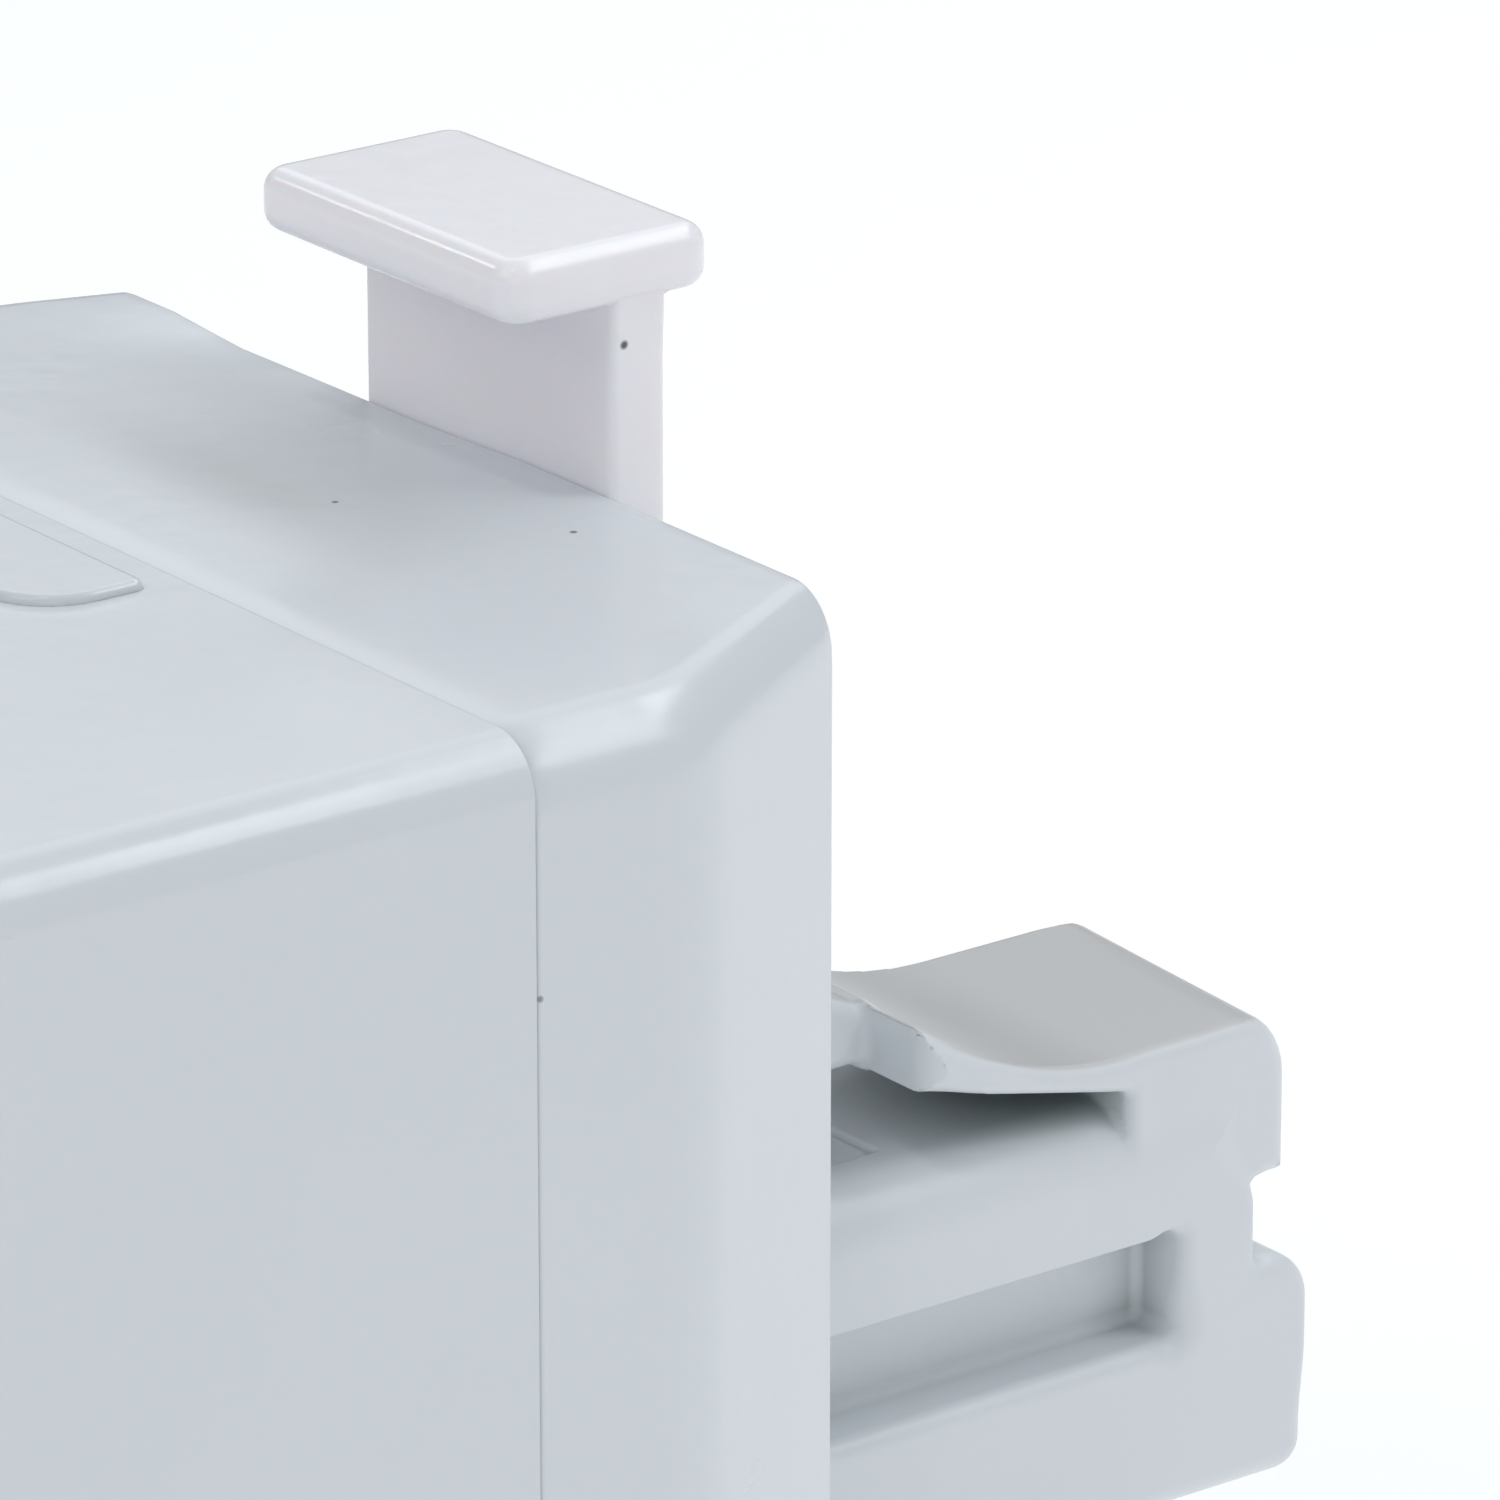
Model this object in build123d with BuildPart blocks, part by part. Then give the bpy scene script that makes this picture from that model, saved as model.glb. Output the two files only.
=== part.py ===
"""Top latch of a stair gate: a two-shell housing that sits on the gate's closing stile.

A tongue stands out of the housing's back and enters a keeper, where a snap arm on top of it clicks in.
Pressing the T tab of the release slide bends the snap arm down and frees the tongue. The thumb button draws
a bolt forward, away from the release slide's lug.

Units are millimetres. +Z is up, +Y is the closing direction, and X = 0 is the plane that halves the tab and
the tongue. The origin is the centre of the stile socket's mouth, at the underside of the housing.
"""

import os
from math import cos, radians, sin

from build123d import *

os.makedirs("parts", exist_ok=True)

# ---------------------------------------------------------------- driving dimensions

# Housing
height = 96.0
half_width = 43.3
front_y = -33.3
seam_y = 4.0
back_y = 32.0
seam_gap = 0.2
wall = 2.4
back_wall = 3.0
front_edge_radius = 3.4
rear_edge_radius = 4.6
bend_radius = 9.0
# The rear corners taper: the bend's Y and the corner's X on the back plane, right and left
right_taper = (15.5, 33.4)
left_taper = (24.0, 40.3)
# Shallow bevel on the rear shell's top, beside the seam
bevel_length = 2.0
bevel_depth = 0.45
# Alignment lip of the rear shell, which enters the front shell
lip_length = 2.0
lip_inset = 1.3
lip_clearance = 0.1

# Release slide
cap_half_width = 12.9
cap_front_y = back_y - 7.6
cap_rear_y = back_y + 7.3
cap_bottom_z = height + 11.5
cap_thickness = 3.9
cap_corner_radius = 1.8
cap_edge_radius = 1.2
plate_half_width = 12.4
plate_thickness = 3.9
plate_gap = 0.05
plate_bottom_z = height - 36.0
finger_half_width = 4.4
finger_bottom_z = height - 38.4
lug_half_width = 3.5
lug_top_z = height - 14.0
lug_thickness = 4.5
lug_front_y = back_y - 14.0
release_travel = 11.0

# Latch tongue
tongue_half_width = 10.7
beam_top_z = height - 49.3
tongue_bottom_z = height - 77.0
block_top_z = height - 45.5
block_bottom_z = height - 56.7
block_end_y = back_y + 54.7
neck_end_y = back_y + 51.6
foot_top_z = height - 61.8
foot_end_y = back_y + 56.0
beam_edge_radius = 4.0
block_end_radius = 4.4
foot_end_radius = 3.0
pocket_inner_x = 6.0
pocket_top_z = height - 58.05
pocket_bottom_z = height - 65.4
pocket_end_y = back_y + 45.4
# Channel for the arm's nose: its floor slopes down from its end towards the back plane
channel_half_width = 5.2
channel_end_y = back_y + 25.2
channel_end_depth = 0.6
channel_slope = 0.306
flange_half_width = 16.0
flange_thickness = 3.5
flange_margin = 3.0
flange_top_margin = 2.3
tongue_screw_x = 13.3
tongue_screw_inset = 1.0
upright_edge_radius = 1.5

# Snap arm
arm_pivot_y = back_y + 41.5
arm_thickness = 2.4
arm_pivot_z = block_top_z - arm_thickness / 2
arm_pivot_gap = 0.06
arm_curve_radius = 27.0
arm_shoulder_y = back_y + 25.0
arm_shoulder_bottom_z = height - 44.2
nose_half_width = 4.4
nose_front_y = back_y + 1.5
nose_top_z = height - 38.8
nose_curve_y = back_y + 22.5
nose_root = 1.0

# Slide guide on the back wall
guide_half_width = 17.0
guide_clearance = 0.06
guide_rail_depth = 4.1
guide_rear_y = back_y + 6.6
guide_top_z = height - 8.0
guide_wall_bottom_z = height - 37.5
guide_bottom_z = height - 46.0
guide_corner_radius = 2.0
guide_screw_inset = 4.0
slide_guide_screw_x = 14.75

# Return spring, its rod, clip and seat; a coil is its mean radius, wire radius and number of turns
rod_y = back_y - 9.5
rod_radius = 1.5
rod_top_z = height - 11.6
rod_hole_radius = 1.56
rod_tip_radius = 0.4
seat_half_width = 9.0
seat_front_y = 17.0
seat_bottom_z = height - 43.0
seat_thickness = 3.0
seat_flange_top_z = height - 31.0
seat_flange_thickness = 2.5
seat_screw_x = 6.3
seat_screw_drop = 4.0
flange_gap = 0.02
return_coil = (2.4, 0.4, 8)
clip_radius = 3.2
clip_thickness = 0.8
clip_gap = 0.6
rod_fit = 0.01

# Thumb button, its springs, the lock bolt and the bolt's guide
pad_half_width = 9.5
pad_front_y = -6.4
pad_rear_y = 1.6
pad_rise = 0.6
pad_corner_radius = 4.6
pad_edge_radius = 0.4
pad_clearance = 0.12
button_flange_half_width = 10.7
button_flange_top_z = height - 2.6
button_flange_thickness = 1.5
stem_half_width = 2.5
stem_front_y = -5.0
stem_rear_y = -1.0
stem_bend_z = height - 16.0
stem_bottom_z = height - 24.6
wedge_gap = 0.15
bolt_half_width = 5.0
bolt_front_y = -8.0
bolt_rear_y = lug_front_y - 0.6
bolt_bottom_z = height - 24.0
bolt_thickness = 4.0
bolt_clearance = 0.08
channel_front_y = -13.0
channel_rear_y = 14.0
channel_outer_half_width = 8.0
channel_base_thickness = 2.5
ear_half_width = 18.5
ear_front_y = -7.2
ear_rear_y = 0.8
ear_thickness = 2.5
lid_thickness = 2.5
guide_screw_x = 14.5
guide_screw_y = -3.2
button_spring_x = 8.0
button_spring_y = -2.4
spring_post_radius = 1.3
spring_post_height = 5.0
button_coil = (2.0, 0.25, 7)
stem_clearance = 0.3
hanging_boss_radius = 3.5
hanging_pilot_length = 9.0

# Base plate and stile socket
base_thickness = 3.0
base_clearance = 0.1
base_boss_top_z = 14.0
base_pilot_top_z = 12.0
base_head_recess = 0.2
stile_radius = 11.1
socket_radius = 14.4
socket_depth = 30.0
socket_cap = 2.5
socket_fit = 0.05
socket_flange_radius = 19.5
socket_flange_thickness = 2.5
socket_screw_ring = 17.0
clamp_z = 16.0
clamp_boss_half_width = 7.0
clamp_boss_half_height = 7.0
clamp_boss_front_y = -22.0
clamp_screw_radius = 2.45
clamp_hole_radius = 2.55
nut_half_width = 4.0
nut_thickness = 4.0
nut_front_y = -19.1
nut_fit = 0.1
clamp_head_y = -27.0
clamp_tip_gap = 0.1
hexagon_radius = 2.3
hexagon_depth = 2.0

# Plug over the clamp screw's hole: stem and cap
plug_stem_radius = 4.55
plug_cap_radius = 5.9
plug_cap_depth = 0.9
plug_length = 2.2
plug_stem_fit = 0.05
plug_cap_fit = 0.1

# Fasteners: screw shank radius, head radius, head height
cover_screw = (1.45, 2.9, 2.4)
small_screw = (1.1, 2.0, 1.2)
base_screw = (1.3, 2.4, 1.4)
clamp_head = (4.2, 3.3)
thread_fit = 0.03
shank_fit = 0.05
head_fit = 0.1
small_pilot_depth = 2.5
small_grip = 2.3
tube_shank_fit = 0.25
tube_head_fit = 0.3
insert_grip = 7.5
# How far a boss or tube sinks into the wall that it stands on
boss_root = 0.5
boss_radius = 4.8
base_boss_radius = 3.6
insert_radius = 2.6
insert_length = 8.0
counterbore_depth = 12.0
insert_pocket_depth = 12.0
socket_pilot_depth = 2.2
cover_screw_x = 26.5
cover_screw_z = (14.0, 82.0)
base_screw_spots = ((37.6, 12.0), (-37.6, 12.0), (37.6, -24.0), (-37.6, -24.0))
socket_screw_angles = (90.0, 200.0, 340.0)

# ---------------------------------------------------------------- worked-out places

inner_back_y = back_y - back_wall
front_shell_end_y = seam_y - seam_gap / 2
rear_shell_start_y = seam_y + seam_gap / 2
plate_front_y = back_y + plate_gap
plate_rear_y = plate_front_y + plate_thickness
lug_bottom_z = lug_top_z - lug_thickness
seat_top_z = seat_bottom_z + seat_thickness
bolt_top_z = bolt_bottom_z + bolt_thickness
lid_bottom_z = bolt_top_z + 0.1
lid_top_z = lid_bottom_z + lid_thickness
ear_bottom_z = lid_bottom_z - ear_thickness
channel_base_z = bolt_bottom_z - bolt_clearance - channel_base_thickness
button_flange_bottom_z = button_flange_top_z - button_flange_thickness
channel_end_z = beam_top_z - channel_end_depth
channel_front_z = channel_end_z - channel_slope * (channel_end_y - back_y + boss_root)

# Alignment of a rod that stands on its start point
STANDING = (Align.CENTER, Align.CENTER, Align.MIN)

# ---------------------------------------------------------------- shared shapes


def paired(x, *others):
    """Spots at -x and +x for each other coordinate."""
    return [(sign * x, other) for sign in (-1, 1) for other in others]


def housing_outline(front, rear):
    """Points of the housing's outline between two Y planes, its rear corners tapering to the rear one."""

    def corner_x(taper):
        bend, end_x = taper
        return end_x + (half_width - end_x) * (back_y - rear) / (back_y - bend)

    return [
        (-half_width, front),
        (half_width, front),
        (half_width, right_taper[0]),
        (corner_x(right_taper), rear),
        (-corner_x(left_taper), rear),
        (-half_width, left_taper[0]),
    ]


def draw_outline(points):
    """Face inside a closed run of straight lines, for the sketch that is open."""
    Polygon(*points, align=None)


def bends(sketch):
    """Corners of a housing outline where its sides start to taper."""
    return [v for v in sketch.vertices() if abs(v.Y - right_taper[0]) < 2 or abs(v.Y - left_taper[0]) < 2]


def box_between(low, high, mode=Mode.ADD):
    """Box between two corners, in the part that is open."""
    size = [b - a for a, b in zip(low, high)]
    middle = [(a + b) / 2 for a, b in zip(low, high)]
    with Locations(tuple(middle)):
        Box(*size, mode=mode)


def facing_rear(y):
    """Plane across Y whose normal points to the rear, with the row's X and Z as its axes mirrored in X."""
    return Plane(origin=(0, y, 0), x_dir=(-1, 0, 0), z_dir=(0, 1, 0))


def side_plane(x):
    """Plane across X in which a sketch's axes are the row's Y and Z."""
    return Plane(origin=(x, 0, 0), x_dir=(0, 1, 0), z_dir=(1, 0, 0))


def rod_along_y(spots, radius, start, end, mode=Mode.ADD):
    """Round rods along Y at each (x, z), from one Y to another."""
    with Locations(*[(x, start, z) for x, z in spots]):
        Cylinder(radius, end - start, rotation=(-90, 0, 0), align=STANDING, mode=mode)


def rod_along_z(spots, radius, start, end, mode=Mode.ADD):
    """Round rods along Z at each (x, y), from one Z to another."""
    with Locations(*[(x, y, start) for x, y in spots]):
        Cylinder(radius, end - start, align=STANDING, mode=mode)


def coil(centre, wire, bottom, top):
    """Wire of a compression spring between two heights, in the part that is open."""
    mean_radius, wire_radius, turns = wire
    rise = top - bottom - 2 * wire_radius
    with BuildLine(Plane.XY.offset(bottom + wire_radius)) as path:
        Helix(pitch=rise / turns, height=rise, radius=mean_radius, center=(centre[0], centre[1], 0))
    with BuildSketch(Plane(origin=path.line @ 0, z_dir=path.line % 0)) as section:
        Circle(wire_radius)
    sweep(sections=section.sketch, path=path.line, is_frenet=True)


# ---------------------------------------------------------------- housing shells

cover_screw_spots = paired(cover_screw_x, *cover_screw_z)
socket_head_z = base_thickness + socket_flange_thickness
seat_head_y = inner_back_y - flange_gap - seat_flange_thickness
tongue_head_y = inner_back_y - flange_gap - flange_thickness

# Front shell: open to the rear and below, rounded along its top and its upright front corners
with BuildPart() as front_cover:
    with BuildSketch():
        draw_outline([
            (-half_width, front_shell_end_y),
            (-half_width, front_y),
            (half_width, front_y),
            (half_width, front_shell_end_y),
        ])
    extrude(amount=height)
    front_corners = front_cover.edges().filter_by(Axis.Z).group_by(Axis.Y)[0]
    fillet(front_corners, front_edge_radius)
    rim = front_cover.edges().group_by(Axis.Z)[-1].sort_by(Axis.Y)[:-1]
    fillet(rim, front_edge_radius)
    box_between(
        (wall - half_width, front_y + wall, 0),
        (half_width - wall, front_shell_end_y, height - wall),
        Mode.SUBTRACT,
    )
    # Rebate that takes the rear shell's lip
    rebate = lip_inset - lip_clearance
    box_between(
        (rebate - half_width, front_shell_end_y - lip_length, 0),
        (half_width - rebate, front_shell_end_y, height - rebate),
        Mode.SUBTRACT,
    )
    # Bosses for the cover screws, with seats for the brass inserts
    boss_end_y = front_shell_end_y - shank_fit
    rod_along_y(cover_screw_spots, boss_radius, front_y + wall - boss_root, boss_end_y)
    rod_along_y(cover_screw_spots, insert_radius + thread_fit, boss_end_y - insert_pocket_depth, boss_end_y,
                Mode.SUBTRACT)
    # Bosses for the base screws
    front_base_spots = [s for s in base_screw_spots if s[1] < 0]
    rod_along_z(front_base_spots, base_boss_radius, base_thickness + shank_fit, base_boss_top_z)
    rod_along_z(front_base_spots, base_screw[0] + thread_fit, base_thickness, base_pilot_top_z, Mode.SUBTRACT)
    # Bosses under the top that carry the bolt guide
    hanging_spots = [(guide_screw_x, guide_screw_y), (-guide_screw_x, guide_screw_y)]
    rod_along_z(hanging_spots, hanging_boss_radius, lid_top_z, height - wall + boss_root)
    rod_along_z(hanging_spots, small_screw[0] + thread_fit, lid_top_z, lid_top_z + hanging_pilot_length,
                Mode.SUBTRACT)
    # Opening for the thumb button
    with BuildSketch(Plane.XY.offset(height - 2 * wall)) as pad_hole:
        draw_outline([
            (-pad_half_width - pad_clearance, pad_front_y - pad_clearance),
            (pad_half_width + pad_clearance, pad_front_y - pad_clearance),
            (pad_half_width + pad_clearance, pad_rear_y + pad_clearance),
            (-pad_half_width - pad_clearance, pad_rear_y + pad_clearance),
        ])
        fillet(pad_hole.vertices().group_by(Axis.Y)[0], pad_corner_radius)
    extrude(amount=3 * wall, mode=Mode.SUBTRACT)
    # Stepped hole for the clamp screw's plug
    rod_along_y([(0, clamp_z)], plug_stem_radius + plug_stem_fit, front_y, front_y + 2 * wall, Mode.SUBTRACT)
    rod_along_y([(0, clamp_z)], plug_cap_radius + plug_cap_fit, front_y, front_y + plug_cap_depth,
                Mode.SUBTRACT)

# Rear shell: tapered rear corners, back wall, screw tubes, and the lip that enters the front shell
with BuildPart() as rear_housing:
    with BuildSketch() as outer:
        draw_outline(housing_outline(rear_shell_start_y, back_y))
        fillet(bends(outer), bend_radius)
    extrude(amount=height)
    top_edges = rear_housing.edges().group_by(Axis.Z)[-1]
    side_edges = [
        e for e in top_edges
        if abs(e.center().Y - back_y) > 0.1 and abs(e.center().Y - rear_shell_start_y) > 0.1
    ]
    fillet(side_edges, rear_edge_radius)
    with BuildSketch() as cavity:
        draw_outline(housing_outline(rear_shell_start_y - wall, inner_back_y + wall))
        offset(amount=-wall, kind=Kind.INTERSECTION, mode=Mode.REPLACE)
    extrude(amount=height - wall, mode=Mode.SUBTRACT)
    # Bevel beside the seam
    with BuildSketch(side_plane(-half_width)):
        draw_outline([
            (rear_shell_start_y, height),
            (rear_shell_start_y + bevel_length, height),
            (rear_shell_start_y, height - bevel_depth),
        ])
    extrude(amount=2 * half_width, mode=Mode.SUBTRACT)
    # Lip: an arch one step inside the outer surface
    lip_start_y = rear_shell_start_y - lip_length + lip_clearance
    with BuildSketch(facing_rear(lip_start_y)) as lip:
        draw_outline([
            (lip_inset - half_width, 0),
            (half_width - lip_inset, 0),
            (half_width - lip_inset, height - lip_inset),
            (lip_inset - half_width, height - lip_inset),
        ])
        fillet(lip.vertices().group_by(Axis.Y)[-1], rear_edge_radius - lip_inset)
        with BuildSketch(facing_rear(lip_start_y), mode=Mode.SUBTRACT) as lip_hole:
            draw_outline([
                (wall - half_width, -1),
                (half_width - wall, -1),
                (half_width - wall, height - wall),
                (wall - half_width, height - wall),
            ])
            fillet(lip_hole.vertices().group_by(Axis.Y)[-1], rear_edge_radius - wall)
    extrude(amount=lip_length + boss_root)
    # Tubes for the cover screws, deep counterbores from behind
    rod_along_y(cover_screw_spots, boss_radius, rear_shell_start_y, inner_back_y + boss_root)
    rod_along_y(cover_screw_spots, cover_screw[0] + tube_shank_fit, rear_shell_start_y, back_y, Mode.SUBTRACT)
    rod_along_y(cover_screw_spots, cover_screw[1] + tube_head_fit, back_y - counterbore_depth, back_y,
                Mode.SUBTRACT)
    # Bosses for the base screws
    rear_base_spots = [s for s in base_screw_spots if s[1] > 0]
    rod_along_z(rear_base_spots, base_boss_radius, base_thickness + shank_fit, base_boss_top_z)
    rod_along_z(rear_base_spots, base_screw[0] + thread_fit, base_thickness, base_pilot_top_z, Mode.SUBTRACT)
    # Slot for the release slide's lug, and window for the tongue
    box_between(
        (-lug_half_width - 0.2, inner_back_y - 1, lug_bottom_z - release_travel - 0.5),
        (lug_half_width + 0.2, back_y + 1, lug_top_z + 0.4),
        Mode.SUBTRACT,
    )
    window_gap = 0.05
    box_between(
        (-tongue_half_width - window_gap, inner_back_y - 1, tongue_bottom_z - window_gap),
        (tongue_half_width + window_gap, back_y + 1, beam_top_z + window_gap),
        Mode.SUBTRACT,
    )
    # Pilot holes in the back wall: guide screws from behind, seat and tongue screws from inside
    pilot_radius = small_screw[0] + thread_fit
    guide_spots = paired(slide_guide_screw_x, guide_wall_bottom_z + guide_screw_inset,
                         guide_top_z - guide_screw_inset)
    seat_spots = paired(seat_screw_x, seat_flange_top_z - seat_screw_drop)
    tongue_spots = paired(tongue_screw_x, tongue_bottom_z + tongue_screw_inset, beam_top_z - tongue_screw_inset)
    rod_along_y(guide_spots, pilot_radius, back_y - small_pilot_depth, back_y, Mode.SUBTRACT)
    rod_along_y(seat_spots + tongue_spots, pilot_radius, inner_back_y, inner_back_y + small_pilot_depth,
                Mode.SUBTRACT)

# ---------------------------------------------------------------- release slide

# T tab, plate behind the back wall, finger over the snap arm's nose, and the lug on the return spring
with BuildPart() as release_slide:
    with BuildSketch(Plane.XY.offset(cap_bottom_z)) as cap:
        draw_outline([
            (-cap_half_width, cap_front_y),
            (cap_half_width, cap_front_y),
            (cap_half_width, cap_rear_y),
            (-cap_half_width, cap_rear_y),
        ])
        fillet(cap.vertices(), cap_corner_radius)
    extrude(amount=cap_thickness)
    cap_rims = release_slide.edges().group_by(Axis.Z)
    fillet(cap_rims[-1] + cap_rims[0], cap_edge_radius)
    box_between(
        (-plate_half_width, plate_front_y, plate_bottom_z),
        (plate_half_width, plate_rear_y, cap_bottom_z + 1),
    )
    box_between(
        (-finger_half_width, plate_front_y, finger_bottom_z),
        (finger_half_width, plate_rear_y, plate_bottom_z + 1),
    )
    box_between(
        (-lug_half_width, lug_front_y, lug_bottom_z),
        (lug_half_width, plate_front_y + 1, lug_top_z),
    )
    rod_along_z([(0, rod_y)], rod_hole_radius, lug_bottom_z, lug_top_z, Mode.SUBTRACT)

# Channel that holds the plate against the back wall
with BuildPart() as slide_guide:
    box_between(
        (-guide_half_width, back_y, guide_bottom_z),
        (guide_half_width, guide_rear_y, guide_top_z),
    )
    outer_corners = slide_guide.edges().filter_by(Axis.Z).group_by(Axis.Y)[-1]
    fillet(outer_corners, guide_corner_radius)
    guide_slot = plate_half_width + guide_clearance
    box_between(
        (-guide_slot, back_y, guide_bottom_z),
        (guide_slot, back_y + guide_rail_depth, guide_top_z),
        Mode.SUBTRACT,
    )
    box_between(
        (-guide_slot, back_y, guide_bottom_z),
        (guide_slot, guide_rear_y, guide_wall_bottom_z),
        Mode.SUBTRACT,
    )
    rod_along_y(guide_spots, small_screw[0] + shank_fit, back_y, guide_rear_y, Mode.SUBTRACT)
    rod_along_y(guide_spots, small_screw[1] + head_fit, guide_rear_y - small_screw[2] - head_fit, guide_rear_y,
                Mode.SUBTRACT)

with BuildPart() as slide_guide_screws:
    guide_head_y = guide_rear_y - head_fit - small_screw[2]
    rod_along_y(guide_spots, small_screw[0], back_y - small_grip, guide_head_y)
    rod_along_y(guide_spots, small_screw[1], guide_head_y, guide_rear_y - head_fit)

# ---------------------------------------------------------------- return spring

# Angle bracket on the back wall's inner face
with BuildPart() as spring_seat:
    box_between(
        (-seat_half_width, seat_front_y, seat_bottom_z),
        (seat_half_width, inner_back_y - flange_gap, seat_top_z),
    )
    box_between(
        (-seat_half_width, seat_head_y, seat_bottom_z),
        (seat_half_width, inner_back_y - flange_gap, seat_flange_top_z),
    )
    rod_along_z([(0, rod_y)], rod_radius + rod_fit, seat_bottom_z, seat_top_z, Mode.SUBTRACT)
    rod_along_y(seat_spots, small_screw[0] + shank_fit, seat_front_y, inner_back_y, Mode.SUBTRACT)

with BuildPart() as seat_screws:
    rod_along_y(seat_spots, small_screw[0], seat_head_y, inner_back_y + small_grip)
    rod_along_y(seat_spots, small_screw[1], seat_head_y - small_screw[2], seat_head_y)

with BuildPart() as spring_rod:
    rod_along_z([(0, rod_y)], rod_radius, seat_bottom_z, rod_top_z)
    fillet(spring_rod.edges().group_by(Axis.Z)[-1], rod_tip_radius)

with BuildPart() as rod_clip:
    clip_bottom_z = lug_top_z + clip_gap
    rod_along_z([(0, rod_y)], clip_radius, clip_bottom_z, clip_bottom_z + clip_thickness)
    rod_along_z([(0, rod_y)], rod_radius + rod_fit, clip_bottom_z, clip_bottom_z + clip_thickness,
                Mode.SUBTRACT)

with BuildPart() as return_spring:
    coil((0, rod_y), return_coil, seat_top_z, lug_bottom_z)

# ---------------------------------------------------------------- latch tongue and snap arm

# Side profile of the tongue, drawn in Y and Z: beam, stepped top block, neck and foot
with BuildPart() as latch_tongue:
    with BuildSketch(side_plane(-tongue_half_width)) as side:
        draw_outline([
            (inner_back_y - 1, tongue_bottom_z),
            (foot_end_y, tongue_bottom_z),
            (foot_end_y, foot_top_z),
            (neck_end_y, foot_top_z),
            (neck_end_y, block_bottom_z),
            (block_end_y, block_bottom_z),
            (block_end_y, block_top_z),
            (arm_pivot_y, block_top_z),
            (arm_pivot_y, beam_top_z),
            (inner_back_y - 1, beam_top_z),
        ])
        fillet([v for v in side.vertices() if abs(v.X - block_end_y) < 0.1 and v.Y > block_bottom_z + 1],
               block_end_radius)
        fillet([v for v in side.vertices() if abs(v.X - foot_end_y) < 0.1], foot_end_radius)
    extrude(amount=2 * tongue_half_width)
    upright = latch_tongue.edges().filter_by(Axis.Z)
    fillet([e for e in upright if e.center().Y > neck_end_y - 0.1], upright_edge_radius)
    lengthwise = latch_tongue.edges().filter_by(Axis.Y)
    fillet([e for e in lengthwise if abs(e.center().Z - beam_top_z) < 0.1], beam_edge_radius)
    # Channel under the snap arm's nose
    with BuildSketch(side_plane(-channel_half_width)):
        draw_outline([
            (back_y - boss_root, beam_top_z + 1),
            (channel_end_y, beam_top_z + 1),
            (channel_end_y, channel_end_z),
            (back_y - boss_root, channel_front_z),
        ])
    extrude(amount=2 * channel_half_width, mode=Mode.SUBTRACT)
    # Pockets for the keeper's rails, one in each side
    pocket_outer_x = tongue_half_width + 1
    for side_sign in (-1, 1):
        box_between(
            (min(side_sign * pocket_inner_x, side_sign * pocket_outer_x), back_y, pocket_bottom_z),
            (max(side_sign * pocket_inner_x, side_sign * pocket_outer_x), pocket_end_y, pocket_top_z),
            Mode.SUBTRACT,
        )
    # Round seat in which the snap arm's root turns
    with BuildSketch(side_plane(-tongue_half_width)):
        with Locations((arm_pivot_y, arm_pivot_z)):
            Circle(arm_thickness / 2 + arm_pivot_gap)
    extrude(amount=2 * tongue_half_width, mode=Mode.SUBTRACT)
    # Flange against the back wall's inner face
    box_between(
        (-flange_half_width, tongue_head_y, tongue_bottom_z - flange_margin),
        (flange_half_width, inner_back_y - flange_gap, beam_top_z + flange_top_margin),
    )
    rod_along_y(tongue_spots, small_screw[0] + shank_fit, tongue_head_y - 1, inner_back_y, Mode.SUBTRACT)

with BuildPart() as tongue_screws:
    rod_along_y(tongue_spots, small_screw[0], tongue_head_y, inner_back_y + small_grip)
    rod_along_y(tongue_spots, small_screw[1], tongue_head_y - small_screw[2], tongue_head_y)


def arm_top_z(y):
    """Height of the snap arm's hollow ramp, an arc that starts level over the pivot."""
    return block_top_z + arm_curve_radius - (arm_curve_radius**2 - (arm_pivot_y - y) ** 2) ** 0.5


# Snap arm: round root, ramp that rises towards the housing, square shoulder, narrow nose
with BuildPart() as snap_arm:
    with BuildSketch(side_plane(-tongue_half_width)):
        with BuildLine():
            ramp_middle_y = (arm_pivot_y + arm_shoulder_y) / 2
            ThreePointArc(
                (arm_pivot_y, block_top_z),
                (ramp_middle_y, arm_top_z(ramp_middle_y)),
                (arm_shoulder_y, arm_top_z(arm_shoulder_y)),
            )
            Polyline(
                (arm_shoulder_y, arm_top_z(arm_shoulder_y)),
                (arm_shoulder_y, arm_shoulder_bottom_z),
                (arm_pivot_y, arm_pivot_z - arm_thickness / 2),
                (arm_pivot_y, block_top_z),
            )
        make_face()
        with Locations((arm_pivot_y, arm_pivot_z)):
            Circle(arm_thickness / 2)
    extrude(amount=2 * tongue_half_width)
    with BuildSketch(side_plane(-nose_half_width)):
        with BuildLine():
            nose_middle_y = (arm_shoulder_y + nose_curve_y) / 2 + 0.5
            ThreePointArc(
                (arm_shoulder_y + nose_root, arm_top_z(arm_shoulder_y + nose_root)),
                (nose_middle_y, arm_top_z(nose_middle_y)),
                (nose_curve_y, nose_top_z),
            )
            Polyline(
                (nose_curve_y, nose_top_z),
                (nose_front_y, nose_top_z),
                (nose_front_y, arm_shoulder_bottom_z),
                (arm_shoulder_y + nose_root, arm_shoulder_bottom_z),
                (arm_shoulder_y + nose_root, arm_top_z(arm_shoulder_y + nose_root)),
            )
        make_face()
    extrude(amount=2 * nose_half_width)

# ---------------------------------------------------------------- thumb button and lock bolt

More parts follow.
